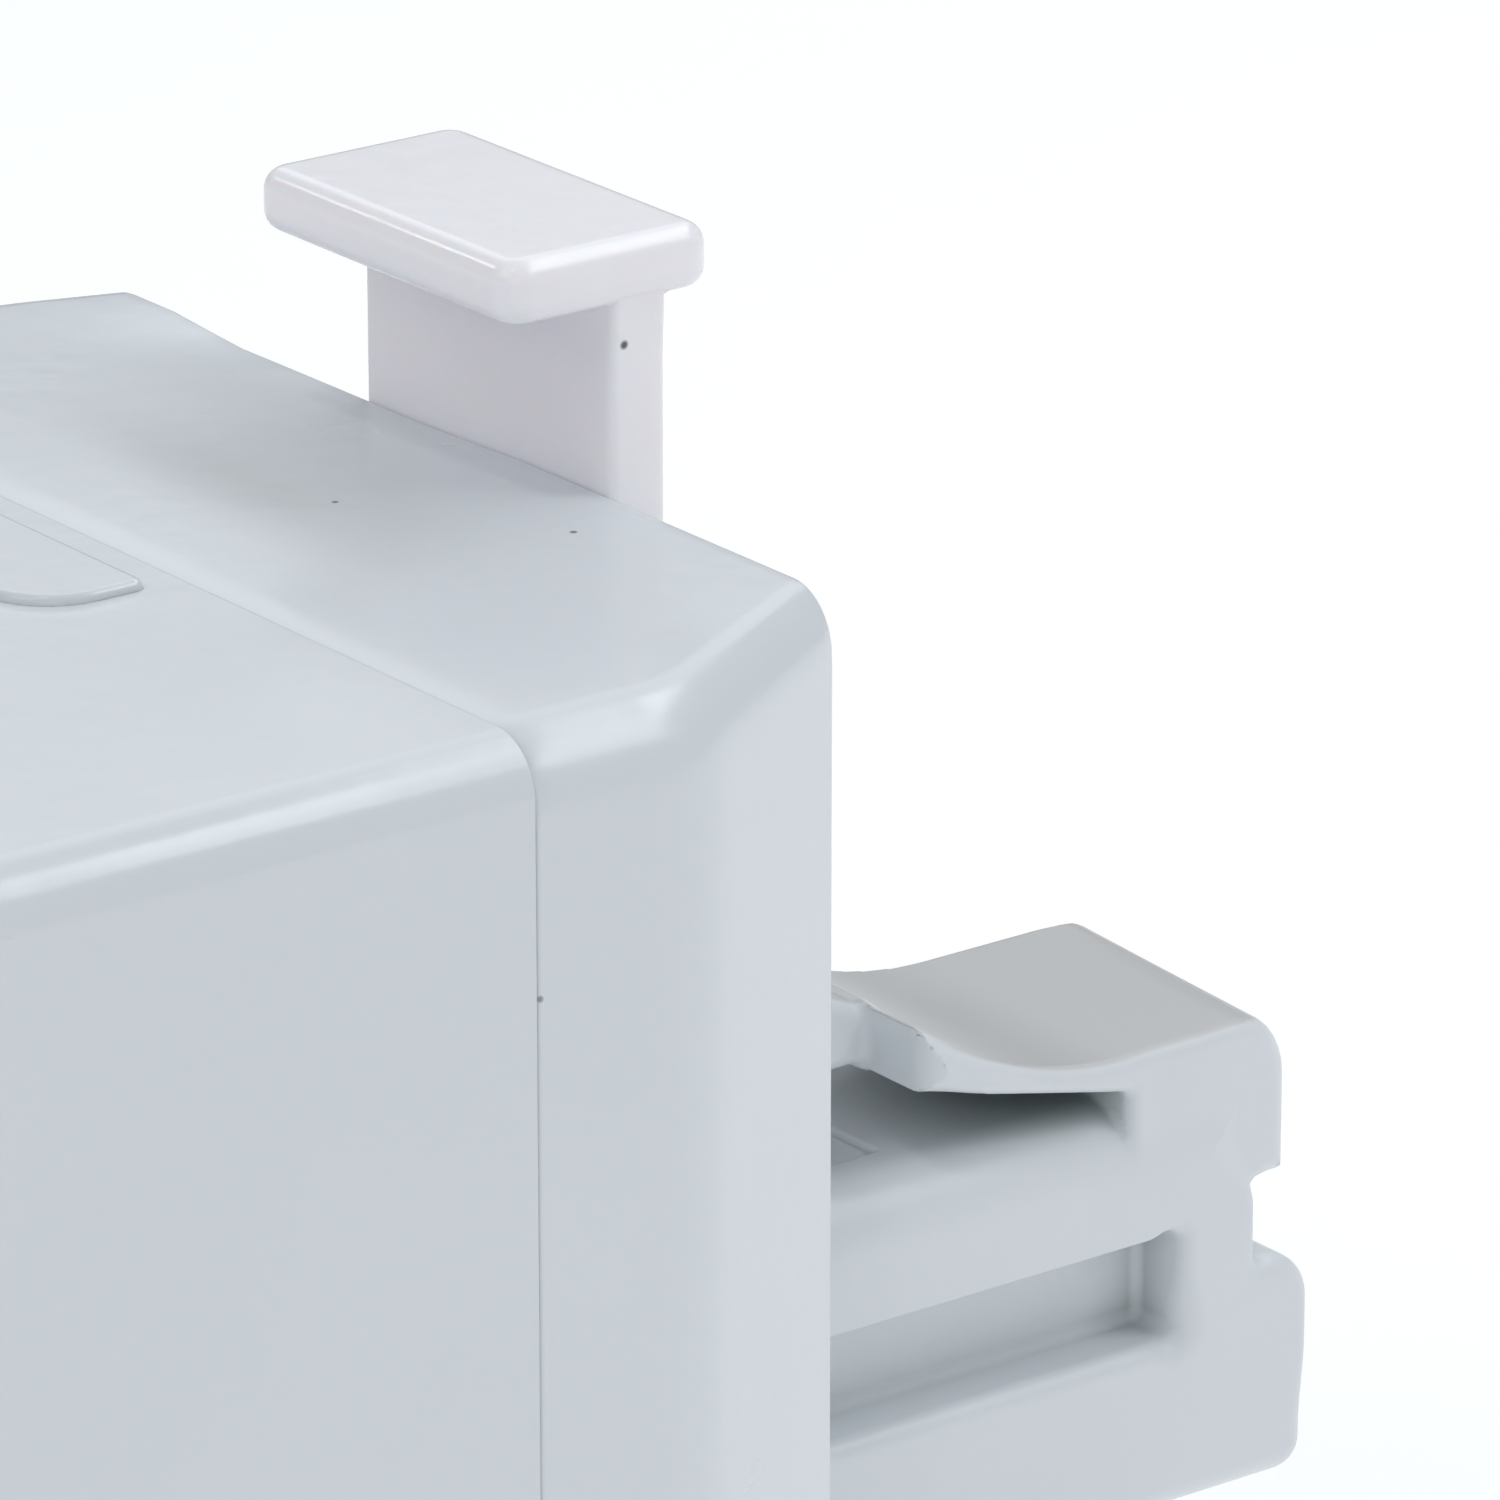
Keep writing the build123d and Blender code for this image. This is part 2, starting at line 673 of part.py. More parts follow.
# Pad in the front shell's top, flange under it, and a stem that ends in a 45 degree bar
with BuildPart() as thumb_button:
    with BuildSketch(Plane.XY.offset(button_flange_top_z)) as pad:
        draw_outline([
            (-pad_half_width, pad_front_y),
            (pad_half_width, pad_front_y),
            (pad_half_width, pad_rear_y),
            (-pad_half_width, pad_rear_y),
        ])
        fillet(pad.vertices().group_by(Axis.Y)[0], pad_corner_radius)
    extrude(amount=height + pad_rise - button_flange_top_z)
    fillet(thumb_button.edges().group_by(Axis.Z)[-1], pad_edge_radius)
    box_between(
        (-button_flange_half_width, pad_front_y + 0.2, button_flange_bottom_z),
        (button_flange_half_width, pad_rear_y - 0.2, button_flange_top_z),
    )
    with BuildSketch(side_plane(-stem_half_width)):
        slant = stem_bend_z - stem_bottom_z
        draw_outline([
            (stem_front_y, button_flange_bottom_z),
            (stem_rear_y, button_flange_bottom_z),
            (stem_rear_y, stem_bend_z),
            (stem_rear_y + slant, stem_bottom_z),
            (stem_front_y + slant, stem_bottom_z),
            (stem_front_y, stem_bend_z),
        ])
    extrude(amount=2 * stem_half_width)

# Flat bolt with a slanted window around the stem's bar
with BuildPart() as lock_bolt:
    box_between(
        (-bolt_half_width, bolt_front_y, bolt_bottom_z),
        (bolt_half_width, bolt_rear_y, bolt_top_z),
    )
    with BuildSketch(side_plane(-stem_half_width - 0.1)):
        top_shift = stem_bend_z - bolt_top_z - 1
        bottom_shift = stem_bend_z - bolt_bottom_z + 1
        draw_outline([
            (stem_front_y + top_shift - wedge_gap, bolt_top_z + 1),
            (stem_rear_y + top_shift + wedge_gap, bolt_top_z + 1),
            (stem_rear_y + bottom_shift + wedge_gap, bolt_bottom_z - 1),
            (stem_front_y + bottom_shift - wedge_gap, bolt_bottom_z - 1),
        ])
    extrude(amount=2 * (stem_half_width + 0.1), mode=Mode.SUBTRACT)

# Channel under the bolt, with two ears for its screws
with BuildPart() as bolt_guide:
    box_between(
        (-channel_outer_half_width, channel_front_y, channel_base_z),
        (channel_outer_half_width, channel_rear_y, lid_bottom_z),
    )
    box_between(
        (-ear_half_width, ear_front_y, ear_bottom_z),
        (ear_half_width, ear_rear_y, lid_bottom_z),
    )
    box_between(
        (-bolt_half_width - bolt_clearance, channel_front_y, bolt_bottom_z - bolt_clearance),
        (bolt_half_width + bolt_clearance, channel_rear_y, lid_bottom_z),
        Mode.SUBTRACT,
    )
    box_between(
        (-stem_half_width - stem_clearance, stem_rear_y + 0.7, channel_base_z),
        (stem_half_width + stem_clearance, stem_rear_y + slant + 0.4, bolt_bottom_z),
        Mode.SUBTRACT,
    )
    rod_along_z(hanging_spots, small_screw[0] + shank_fit, channel_base_z, lid_bottom_z, Mode.SUBTRACT)

# Lid over the channel, with a post for each button spring
with BuildPart() as bolt_guide_lid:
    box_between(
        (-channel_outer_half_width, channel_front_y, lid_bottom_z),
        (channel_outer_half_width, channel_rear_y, lid_top_z),
    )
    box_between(
        (-ear_half_width, ear_front_y, lid_bottom_z),
        (ear_half_width, ear_rear_y, lid_top_z),
    )
    button_spring_spots = [(button_spring_x, button_spring_y), (-button_spring_x, button_spring_y)]
    rod_along_z(button_spring_spots, spring_post_radius, lid_top_z, lid_top_z + spring_post_height)
    box_between(
        (-stem_half_width - stem_clearance, stem_front_y - stem_clearance, lid_bottom_z),
        (stem_half_width + stem_clearance, stem_rear_y + 4.3, lid_top_z),
        Mode.SUBTRACT,
    )
    rod_along_z(hanging_spots, small_screw[0] + shank_fit, lid_bottom_z, lid_top_z, Mode.SUBTRACT)

with BuildPart() as guide_screws:
    rod_along_z(hanging_spots, small_screw[0], ear_bottom_z, lid_top_z + hanging_pilot_length - 1)
    rod_along_z(hanging_spots, small_screw[1], ear_bottom_z - small_screw[2], ear_bottom_z)

with BuildPart() as button_springs:
    for spot in button_spring_spots:
        coil(spot, button_coil, lid_top_z, button_flange_bottom_z)

# ---------------------------------------------------------------- cover screws and inserts

screw_seat_y = back_y - counterbore_depth
with BuildPart() as cover_screws:
    rod_along_y(cover_screw_spots, cover_screw[0], boss_end_y - insert_grip, screw_seat_y)
    rod_along_y(cover_screw_spots, cover_screw[1], screw_seat_y, screw_seat_y + cover_screw[2])

with BuildPart() as cover_inserts:
    rod_along_y(cover_screw_spots, insert_radius, boss_end_y - insert_length, boss_end_y)
    rod_along_y(cover_screw_spots, cover_screw[0] + shank_fit, boss_end_y - insert_length, boss_end_y,
                Mode.SUBTRACT)

# ---------------------------------------------------------------- base plate and stile socket

base_head_z = base_screw[2] + base_head_recess
socket_screw_spots = [
    (socket_screw_ring * cos(radians(angle)), socket_screw_ring * sin(radians(angle)))
    for angle in socket_screw_angles
]

with BuildPart() as base_plate:
    with BuildSketch():
        draw_outline(housing_outline(front_y, inner_back_y + wall))
        offset(amount=-wall - base_clearance, kind=Kind.INTERSECTION, mode=Mode.REPLACE)
    extrude(amount=base_thickness)
    rod_along_z([(0, 0)], socket_radius + socket_fit, 0, base_thickness, Mode.SUBTRACT)
    rod_along_z(base_screw_spots, base_screw[0] + shank_fit, 0, base_thickness, Mode.SUBTRACT)
    rod_along_z(base_screw_spots, base_screw[1] + head_fit, 0, base_head_z, Mode.SUBTRACT)
    rod_along_z(socket_screw_spots, small_screw[0] + thread_fit, base_thickness - socket_pilot_depth,
                base_thickness, Mode.SUBTRACT)

with BuildPart() as base_screws:
    rod_along_z(base_screw_spots, base_screw[0], base_head_z, base_pilot_top_z - boss_root)
    rod_along_z(base_screw_spots, base_screw[1], base_head_recess, base_head_z)

# Blind collar for the stile's tube, with a boss for the clamp screw's nut
with BuildPart() as stile_socket:
    rod_along_z([(0, 0)], socket_radius, 0, socket_depth + socket_cap)
    rod_along_z([(0, 0)], socket_flange_radius, base_thickness, base_thickness + socket_flange_thickness)
    box_between(
        (-clamp_boss_half_width, clamp_boss_front_y, clamp_z - clamp_boss_half_height),
        (clamp_boss_half_width, -stile_radius, clamp_z + clamp_boss_half_height),
    )
    rod_along_z([(0, 0)], stile_radius, 0, socket_depth, Mode.SUBTRACT)
    rod_along_y([(0, clamp_z)], clamp_hole_radius, clamp_boss_front_y, -stile_radius + 1, Mode.SUBTRACT)
    box_between(
        (-nut_half_width - nut_fit, nut_front_y - nut_fit, clamp_z - nut_half_width - nut_fit),
        (nut_half_width + nut_fit, nut_front_y + nut_thickness + nut_fit, clamp_z + clamp_boss_half_height),
        Mode.SUBTRACT,
    )
    rod_along_z(socket_screw_spots, small_screw[0] + shank_fit, base_thickness, socket_head_z, Mode.SUBTRACT)

with BuildPart() as socket_screws:
    rod_along_z(socket_screw_spots, small_screw[0], base_thickness - socket_pilot_depth + head_fit,
                socket_head_z)
    rod_along_z(socket_screw_spots, small_screw[1], socket_head_z, socket_head_z + small_screw[2])

with BuildPart() as clamp_nut:
    box_between(
        (-nut_half_width, nut_front_y, clamp_z - nut_half_width),
        (nut_half_width, nut_front_y + nut_thickness, clamp_z + nut_half_width),
    )
    rod_along_y([(0, clamp_z)], clamp_screw_radius + thread_fit, nut_front_y, nut_front_y + nut_thickness,
                Mode.SUBTRACT)

clamp_tip_y = -stile_radius - clamp_tip_gap
with BuildPart() as clamp_screw:
    rod_along_y([(0, clamp_z)], clamp_screw_radius, clamp_head_y, clamp_tip_y)
    rod_along_y([(0, clamp_z)], clamp_head[0], clamp_head_y - clamp_head[1], clamp_head_y)
    # Hexagon socket in the head
    with BuildSketch(facing_rear(clamp_head_y - clamp_head[1])):
        with Locations((0, clamp_z)):
            RegularPolygon(radius=hexagon_radius, side_count=6)
    extrude(amount=hexagon_depth, mode=Mode.SUBTRACT)

with BuildPart() as screw_plug:
    rod_along_y([(0, clamp_z)], plug_cap_radius, front_y, front_y + plug_cap_depth)
    rod_along_y([(0, clamp_z)], plug_stem_radius, front_y + plug_cap_depth, front_y + plug_length)

# ---------------------------------------------------------------- labels and files

pieces = {
    "front_cover": front_cover,
    "rear_housing": rear_housing,
    "release_slide": release_slide,
    "slide_guide": slide_guide,
    "slide_guide_screws": slide_guide_screws,
    "spring_seat": spring_seat,
    "seat_screws": seat_screws,
    "spring_rod": spring_rod,
    "rod_clip": rod_clip,
    "return_spring": return_spring,
    "latch_tongue": latch_tongue,
    "tongue_screws": tongue_screws,
    "snap_arm": snap_arm,
    "thumb_button": thumb_button,
    "lock_bolt": lock_bolt,
    "bolt_guide": bolt_guide,
    "bolt_guide_lid": bolt_guide_lid,
    "guide_screws": guide_screws,
    "button_springs": button_springs,
    "cover_screws": cover_screws,
    "cover_inserts": cover_inserts,
    "base_plate": base_plate,
    "base_screws": base_screws,
    "stile_socket": stile_socket,
    "socket_screws": socket_screws,
    "clamp_nut": clamp_nut,
    "clamp_screw": clamp_screw,
    "screw_plug": screw_plug,
}
for name, piece in pieces.items():
    piece.part.label = name
    export_step(piece.part, f"parts/{name}.step")
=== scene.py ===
"""Looks of the stair gate latch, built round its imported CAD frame.

The visible mouldings are rebuilt here with soft edges and replace their CAD nodes. Hidden and plain parts keep
their CAD meshes and get materials. Lengths in this script are millimetres until they reach a mesh. X = 0 halves
the tab and the tongue, +Y runs from the front shell to the tongue's end, and +Z is up.
"""

from math import cos, pi, radians, sin, sqrt

import bmesh
import bpy
import numpy as np
from mathutils import Matrix, Vector


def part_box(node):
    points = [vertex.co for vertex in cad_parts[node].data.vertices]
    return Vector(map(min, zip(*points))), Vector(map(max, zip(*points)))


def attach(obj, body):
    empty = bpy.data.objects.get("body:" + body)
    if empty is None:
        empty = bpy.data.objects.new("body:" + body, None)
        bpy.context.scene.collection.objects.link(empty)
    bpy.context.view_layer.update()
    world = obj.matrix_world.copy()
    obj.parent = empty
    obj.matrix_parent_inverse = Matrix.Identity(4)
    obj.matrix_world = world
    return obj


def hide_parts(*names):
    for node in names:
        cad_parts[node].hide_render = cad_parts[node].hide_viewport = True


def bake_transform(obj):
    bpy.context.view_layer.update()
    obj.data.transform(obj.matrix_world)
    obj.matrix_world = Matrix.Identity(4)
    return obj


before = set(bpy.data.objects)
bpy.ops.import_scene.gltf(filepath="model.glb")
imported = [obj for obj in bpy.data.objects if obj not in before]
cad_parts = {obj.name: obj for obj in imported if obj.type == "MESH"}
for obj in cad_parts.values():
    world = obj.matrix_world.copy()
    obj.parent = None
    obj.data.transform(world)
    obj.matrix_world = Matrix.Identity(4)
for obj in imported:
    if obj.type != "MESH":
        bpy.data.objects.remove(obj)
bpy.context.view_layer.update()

MM = 0.001


def node_box(node):
    """Lowest and highest corner of a CAD node, in millimetres."""
    low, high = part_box(node)
    return Vector(low) / MM, Vector(high) / MM


cover_low, cover_high = node_box("front_cover")
button_low, button_high = node_box("thumb_button")

HALF = cover_high.x
TOP = cover_high.z
FRONT = cover_low.y
SEAM = 4.0
BACK = node_box("rear_housing")[1].y


# ---------------------------------------------------------------- mesh helpers


def put(name, bm):
    """A new object from a bmesh in millimetres."""
    bmesh.ops.recalc_face_normals(bm, faces=bm.faces)
    mesh = bpy.data.meshes.new(name)
    bm.to_mesh(mesh)
    bm.free()
    mesh.transform(Matrix.Scale(MM, 4))
    piece = bpy.data.objects.new(name, mesh)
    bpy.context.scene.collection.objects.link(piece)
    return piece


def add_rings(bm, rings):
    """Closed solid through rings with equal numbers of points."""
    rows = [[bm.verts.new(p) for p in ring] for ring in rings]
    count = len(rows[0])
    for lower, upper in zip(rows, rows[1:]):
        for i in range(count):
            j = (i + 1) % count
            bm.faces.new((lower[i], lower[j], upper[j], upper[i]))
    bm.faces.new(rows[0])
    bm.faces.new(rows[-1][::-1])


def loft(name, rings):
    """Object made of one closed solid through rings."""
    bm = bmesh.new()
    add_rings(bm, rings)
    return put(name, bm)


def place(axis, a, b, c):
    """Point with (a, b) in the plane across an axis, and c along it."""
    if axis == "X":
        return Vector((c, a, b))
    if axis == "Y":
        return Vector((a, c, b))
    return Vector((a, b, c))


def prism(name, outline, axis, low, high):
    """Outline drawn across an axis, extended along that axis."""
    return loft(name, [[place(axis, a, b, c) for a, b in outline] for c in (low, high)])


def block(name, low, high):
    """Rectangular solid between two corners."""
    outline = [(low[0], low[1]), (high[0], low[1]), (high[0], high[1]), (low[0], high[1])]
    return prism(name, outline, "Z", low[2], high[2])


def rods(name, axis, spots, radius, low, high, sides=32):
    """Round rods along an axis, one at each spot."""
    bm = bmesh.new()
    for a, b in spots:
        ring = [
            (a + radius * cos(2 * pi * i / sides), b + radius * sin(2 * pi * i / sides)) for i in range(sides)
        ]
        add_rings(bm, [[place(axis, p, q, c) for p, q in ring] for c in (low, high)])
    return put(name, bm)


def rounded(corners, steps=8):
    """Outline whose corners (a, b, radius) are rounded with arcs."""
    outline = []
    count = len(corners)
    for i, (a, b, radius) in enumerate(corners):
        here = Vector((a, b))
        if radius == 0:
            outline.append((a, b))
            continue
        before = (Vector(corners[i - 1][:2]) - here).normalized()
        after = (Vector(corners[(i + 1) % count][:2]) - here).normalized()
        half = before.angle(after) / 2
        bisector = (before + after).normalized()
        centre = here + bisector * (radius / sin(half))
        reach = radius / (sin(half) / cos(half))
        start = here + before * reach
        end = here + after * reach
        first = start - centre
        turn = first.angle_signed(end - centre)
        for step in range(steps + 1):
            spoke = first.copy()
            spoke.rotate(Matrix.Rotation(-turn * step / steps, 2))
            outline.append(tuple(centre + spoke))
    return outline


def apply_modifiers(piece):
    """Replaces a piece's mesh by what its modifiers make of it."""
    bpy.context.view_layer.update()
    graph = bpy.context.evaluated_depsgraph_get()
    mesh = bpy.data.meshes.new_from_object(piece.evaluated_get(graph))
    piece.modifiers.clear()
    piece.data = mesh


def boolean(piece, tool, operation):
    """Joins a tool to a piece or cuts it away, and removes the tool."""
    modifier = piece.modifiers.new("boolean", "BOOLEAN")
    modifier.object = tool
    modifier.operation = operation
    modifier.solver = "EXACT"
    apply_modifiers(piece)
    bpy.data.objects.remove(tool)


def bevel(piece, pick, width, segments=4):
    """Rounds the edges for which pick(edge middle in mm, edge direction) is true."""
    bm = bmesh.new()
    bm.from_mesh(piece.data)
    edges = []
    for edge in bm.edges:
        if not edge.is_manifold or edge.calc_face_angle(0) < radians(20):
            continue
        middle = (edge.verts[0].co + edge.verts[1].co) / (2 * MM)
        direction = (edge.verts[1].co - edge.verts[0].co).normalized()
        if pick(middle, direction):
            edges.append(edge)
    bmesh.ops.bevel(
        bm, geom=edges, offset=width * MM, segments=segments, profile=0.5, affect="EDGES", clamp_overlap=True,
        miter_inner="ARC", miter_outer="ARC",
    )
    bm.to_mesh(piece.data)
    bm.free()


def soften(piece, width, segments=3, angle=30):
    """Rounds every edge sharper than an angle."""
    modifier = piece.modifiers.new("soften", "BEVEL")
    modifier.width = width * MM
    modifier.segments = segments
    modifier.limit_method = "ANGLE"
    modifier.angle_limit = radians(angle)
    modifier.miter_outer = "MITER_ARC"
    modifier.use_clamp_overlap = True
    modifier.loop_slide = True
    apply_modifiers(piece)


def shade(piece, angle=40):
    """Smooth shading, weighted by face area, split at sharp edges."""
    piece.data.polygons.foreach_set("use_smooth", [True] * len(piece.data.polygons))
    bm = bmesh.new()
    bm.from_mesh(piece.data)
    for edge in bm.edges:
        edge.smooth = edge.calc_face_angle(0) < radians(angle)
    bm.to_mesh(piece.data)
    bm.free()
    modifier = piece.modifiers.new("normals", "WEIGHTED_NORMAL")
    modifier.mode = "FACE_AREA"
    modifier.weight = 60
    modifier.keep_sharp = True
    apply_modifiers(piece)


# ---------------------------------------------------------------- distance fields

NEWTON_STEPS = 8


def meet(a, b, radius):
    """Intersection of two distance fields, its edge rounded."""
    outer = np.hypot(np.maximum(a + radius, 0), np.maximum(b + radius, 0))
    return np.minimum(np.maximum(a, b), -radius) + outer


def join(a, b, radius):
    """Union of two distance fields, its inner edge filleted."""
    return -meet(-a, -b, radius)


def cut(a, b, radius):
    """First field with the second taken out of it, the rim rounded."""
    return meet(a, -b, radius)


def slab(value, low, high):
    """Distance to the layer between two values of one coordinate."""
    return np.abs(value - (low + high) / 2) - (high - low) / 2


def box_field(a, b, low, high, radius):
    """Distance to a rectangle with rounded corners, in two coordinates."""
    return meet(slab(a, low[0], high[0]), slab(b, low[1], high[1]), radius)


def outline_field(a, b, outline):
    """Signed distance to a closed outline in two coordinates, negative inside."""
    a, b = np.broadcast_arrays(a, b)
    nearest = np.full(a.shape, np.inf)
    inside = np.zeros(a.shape, bool)
    for (a0, b0), (a1, b1) in zip(outline, outline[1:] + outline[:1]):
        run, rise = a1 - a0, b1 - b0
        if run == 0 and rise == 0:
            continue
        share = np.clip(((a - a0) * run + (b - b0) * rise) / (run * run + rise * rise), 0, 1)
        nearest = np.minimum(nearest, (a - a0 - share * run) ** 2 + (b - b0 - share * rise) ** 2)
        if rise != 0:
            inside ^= ((b0 > b) != (b1 > b)) & (a < a0 + run * (b - b0) / rise)
    return np.where(inside, -1, 1) * np.sqrt(nearest)


def ease(value, low, high):
    """Smooth step from 0 at low to 1 at high."""
    share = np.clip((value - low) / (high - low), 0, 1)
    return share * share * (3 - 2 * share)


def gradient(field, points, step=0.01):
    """Slope of a field at points, by central differences."""
    slopes = np.empty_like(points)
    for axis in range(3):
        ahead, behind = points.copy(), points.copy()
        ahead[:, axis] += step
        behind[:, axis] -= step
        slopes[:, axis] = (field(*ahead.T) - field(*behind.T)) / (2 * step)
    return slopes


def net(field, low, high, cell):
    """Points and quads of a field's zero surface: one point in each crossed cell, drawn onto the surface."""
    x, y, z = (np.arange(a - 2 * cell, b + 3 * cell, cell) for a, b in zip(low, high))
    values = field(x[:, None, None], y[None, :, None], z[None, None, :])
    inside = values < 0
    corners = [
        inside[i:inside.shape[0] - 1 + i, j:inside.shape[1] - 1 + j, k:inside.shape[2] - 1 + k]
        for i in (0, 1) for j in (0, 1) for k in (0, 1)
    ]
    filled = np.sum(corners, axis=0)
    crossed = (filled > 0) & (filled < 8)
    number = np.full(crossed.shape, -1)
    number[crossed] = np.arange(crossed.sum())
    cells = np.argwhere(crossed)
    points = np.array([x[0], y[0], z[0]]) + (cells + 0.5) * cell
    # Newton steps draw the points onto the surface, at most one cell at a time
    for _ in range(NEWTON_STEPS):
        value = field(*points.T)
        slope = gradient(field, points)
        reach = value / np.maximum((slope ** 2).sum(1), 0.05)
        points -= np.clip(reach[:, None] * slope, -cell, cell)
    quads = []
    for axis in range(3):
        near = np.take(inside, range(inside.shape[axis] - 1), axis)
        far = np.take(inside, range(1, inside.shape[axis]), axis)
        for leaving in (True, False):
            spots = np.argwhere((near & ~far) if leaving else (~near & far))
            others = [a for a in range(3) if a != axis]
            spots = spots[(spots[:, others] > 0).all(1)]
            ring = []
            for da, db in ((1, 1), (0, 1), (0, 0), (1, 0)):
                shifted = spots.copy()
                shifted[:, others[0]] -= da
                shifted[:, others[1]] -= db
                ring.append(number[tuple(shifted.T)])
            ring = np.array(ring).T
            quads.append(ring if leaving == (axis != 1) else ring[:, ::-1])
    return points, np.concatenate(quads)


def skin(name, field, low, high, cell):
    """Piece whose surface is a field's zero surface."""
    points, quads = net(field, low, high, cell)
    mesh = bpy.data.meshes.new(name)
    mesh.from_pydata(points * MM, [], quads.tolist())
    piece = bpy.data.objects.new(name, mesh)
    bpy.context.scene.collection.objects.link(piece)
    return piece


def shade_from(piece, field):
    """Smooth normals taken from the field."""
    mesh = piece.data
    count = len(mesh.vertices)
    points = np.empty(count * 3, np.float32)
    mesh.vertices.foreach_get("co", points)
    slope = gradient(field, points.reshape(-1, 3).astype(float) / MM)
    slope /= np.maximum(np.linalg.norm(slope, axis=1), 1e-6)[:, None]
    mesh.polygons.foreach_set("use_smooth", [True] * len(mesh.polygons))
    mesh.normals_split_custom_set_from_vertices(slope.tolist())


# ---------------------------------------------------------------- materials


def principled(name, colour, roughness, **sockets):
    """Material with a Principled shader whose constants sit on its own sockets."""
    material = bpy.data.materials.new(name)
    material.use_nodes = True
    shader = material.node_tree.nodes["Principled BSDF"]
    shader.inputs["Base Color"].default_value = (*colour, 1)
    shader.inputs["Roughness"].default_value = roughness
    for socket, value in sockets.items():
        shader.inputs[socket.replace("_", " ")].default_value = value
    return material, shader


def spread(tree, value, start, end, low=0.0, high=1.0, smooth=True):
    """A value's range from start to end, mapped to low to high."""
    node = tree.nodes.new("ShaderNodeMapRange")
    if smooth:
        node.interpolation_type = "SMOOTHSTEP"
    node.inputs["From Min"].default_value = start
    node.inputs["From Max"].default_value = end
    node.inputs["To Min"].default_value = low
    node.inputs["To Max"].default_value = high
    tree.links.new(value, node.inputs["Value"])
    return node.outputs["Result"]


def noise(tree, scale, detail, low, high, where):
    """Noise over the object, mapped to a range."""
    texture = tree.nodes.new("ShaderNodeTexNoise")
    texture.inputs["Scale"].default_value = scale
    texture.inputs["Detail"].default_value = detail
    tree.links.new(where, texture.inputs["Vector"])
    return spread(tree, texture.outputs["Fac"], 0.25, 0.75, low, high)


def coordinates(tree, kind="Object"):
    """Texture coordinates of one kind."""
    return tree.nodes.new("ShaderNodeTexCoord").outputs[kind]


def two_tone(tree, factor, at_zero, at_one, target):
    """Mixes two colours by a factor into a socket."""
    tint = tree.nodes.new("ShaderNodeMix")
    tint.data_type = "RGBA"
    tint.inputs["A"].default_value = (*at_zero, 1)
    tint.inputs["B"].default_value = (*at_one, 1)
    tree.links.new(factor, tint.inputs["Factor"])
    tree.links.new(tint.outputs["Result"], target)


def overlay(material, factor, colour):
    """Mixes a colour over what reaches the material's base colour."""
    tree = material.node_tree
    base = tree.nodes["Principled BSDF"].inputs["Base Color"]
    under = base.links[0].from_socket
    mix = tree.nodes.new("ShaderNodeMix")
    mix.data_type = "RGBA"
    mix.inputs["B"].default_value = (*colour, 1)
    tree.links.new(factor, mix.inputs["Factor"])
    tree.links.new(under, mix.inputs["A"])
    tree.links.new(mix.outputs["Result"], base)


def moulded_plastic(name, colour, shadow, roughness, ripple=0.02, **sockets):
    """Glossy moulded plastic: faint flow variation, uneven gloss and orange peel."""
    material, shader = principled(name, colour, roughness, **sockets)
    tree = material.node_tree
    where = coordinates(tree)
    flow = noise(tree, 38, 3, 0.0, 1.0, where)
    two_tone(tree, flow, shadow, colour, shader.inputs["Base Color"])
    gloss = noise(tree, 55, 4, roughness - 0.05, roughness + 0.06, where)
    tree.links.new(gloss, shader.inputs["Roughness"])
    peel = noise(tree, 420, 2, 0.0, 1.0, where)
    bump = tree.nodes.new("ShaderNodeBump")
    bump.inputs["Strength"].default_value = ripple
    bump.inputs["Distance"].default_value = 0.0004
    tree.links.new(peel, bump.inputs["Height"])
    tree.links.new(bump.outputs["Normal"], shader.inputs["Normal"])
    return material


def metal(name, colour, roughness):
    """Plated or turned metal with fine streaks."""
    material, shader = principled(name, colour, roughness, Metallic=1.0)
    tree = material.node_tree
    where = coordinates(tree)
    grain = noise(tree, 900, 3, roughness - 0.08, roughness + 0.1, where)
    tree.links.new(grain, shader.inputs["Roughness"])
    tone = noise(tree, 160, 2, 0.0, 1.0, where)
    two_tone(tree, tone, [c * 0.86 for c in colour], colour, shader.inputs["Base Color"])
    return material


def paint_recess_shade(material, reach, recess_shade_colour):
    """Painted shade that darkens the plastic's base colour where little light reaches it."""
    tree = material.node_tree
    shelter = tree.nodes.new("ShaderNodeAmbientOcclusion")
    shelter.inputs["Distance"].default_value = reach
    overlay(material, spread(tree, shelter.outputs["AO"], 0.15, 0.6, 0.85, 0.0, smooth=False), recess_shade_colour)


def paint_top_shade(material, low, high, top_shade_colour):
    """Painted shade that darkens upward faces above a height."""
    tree = material.node_tree
    both = tree.nodes.new("ShaderNodeMath")
    both.operation = "MULTIPLY"
    for i, (kind, start, end) in enumerate((("Object", low * MM, high * MM), ("Normal", 0.75, 0.95))):
        split = tree.nodes.new("ShaderNodeSeparateXYZ")
        tree.links.new(coordinates(tree, kind), split.inputs["Vector"])
        tree.links.new(spread(tree, split.outputs["Z"], start, end), both.inputs[i])
    overlay(material, both.outputs["Value"], top_shade_colour)


def speck(material, place_mm, radius_mm, colour):
    """Small mark in the surface round a point."""
    tree = material.node_tree
    distance = tree.nodes.new("ShaderNodeVectorMath")
    distance.operation = "DISTANCE"
    distance.inputs[1].default_value = Vector(place_mm) * MM
    tree.links.new(coordinates(tree), distance.inputs[0])
    rim = [share * radius_mm * MM for share in (0.6, 1.3)]
    overlay(material, spread(tree, distance.outputs["Value"], *rim, 1.0, 0.0, smooth=False), colour)


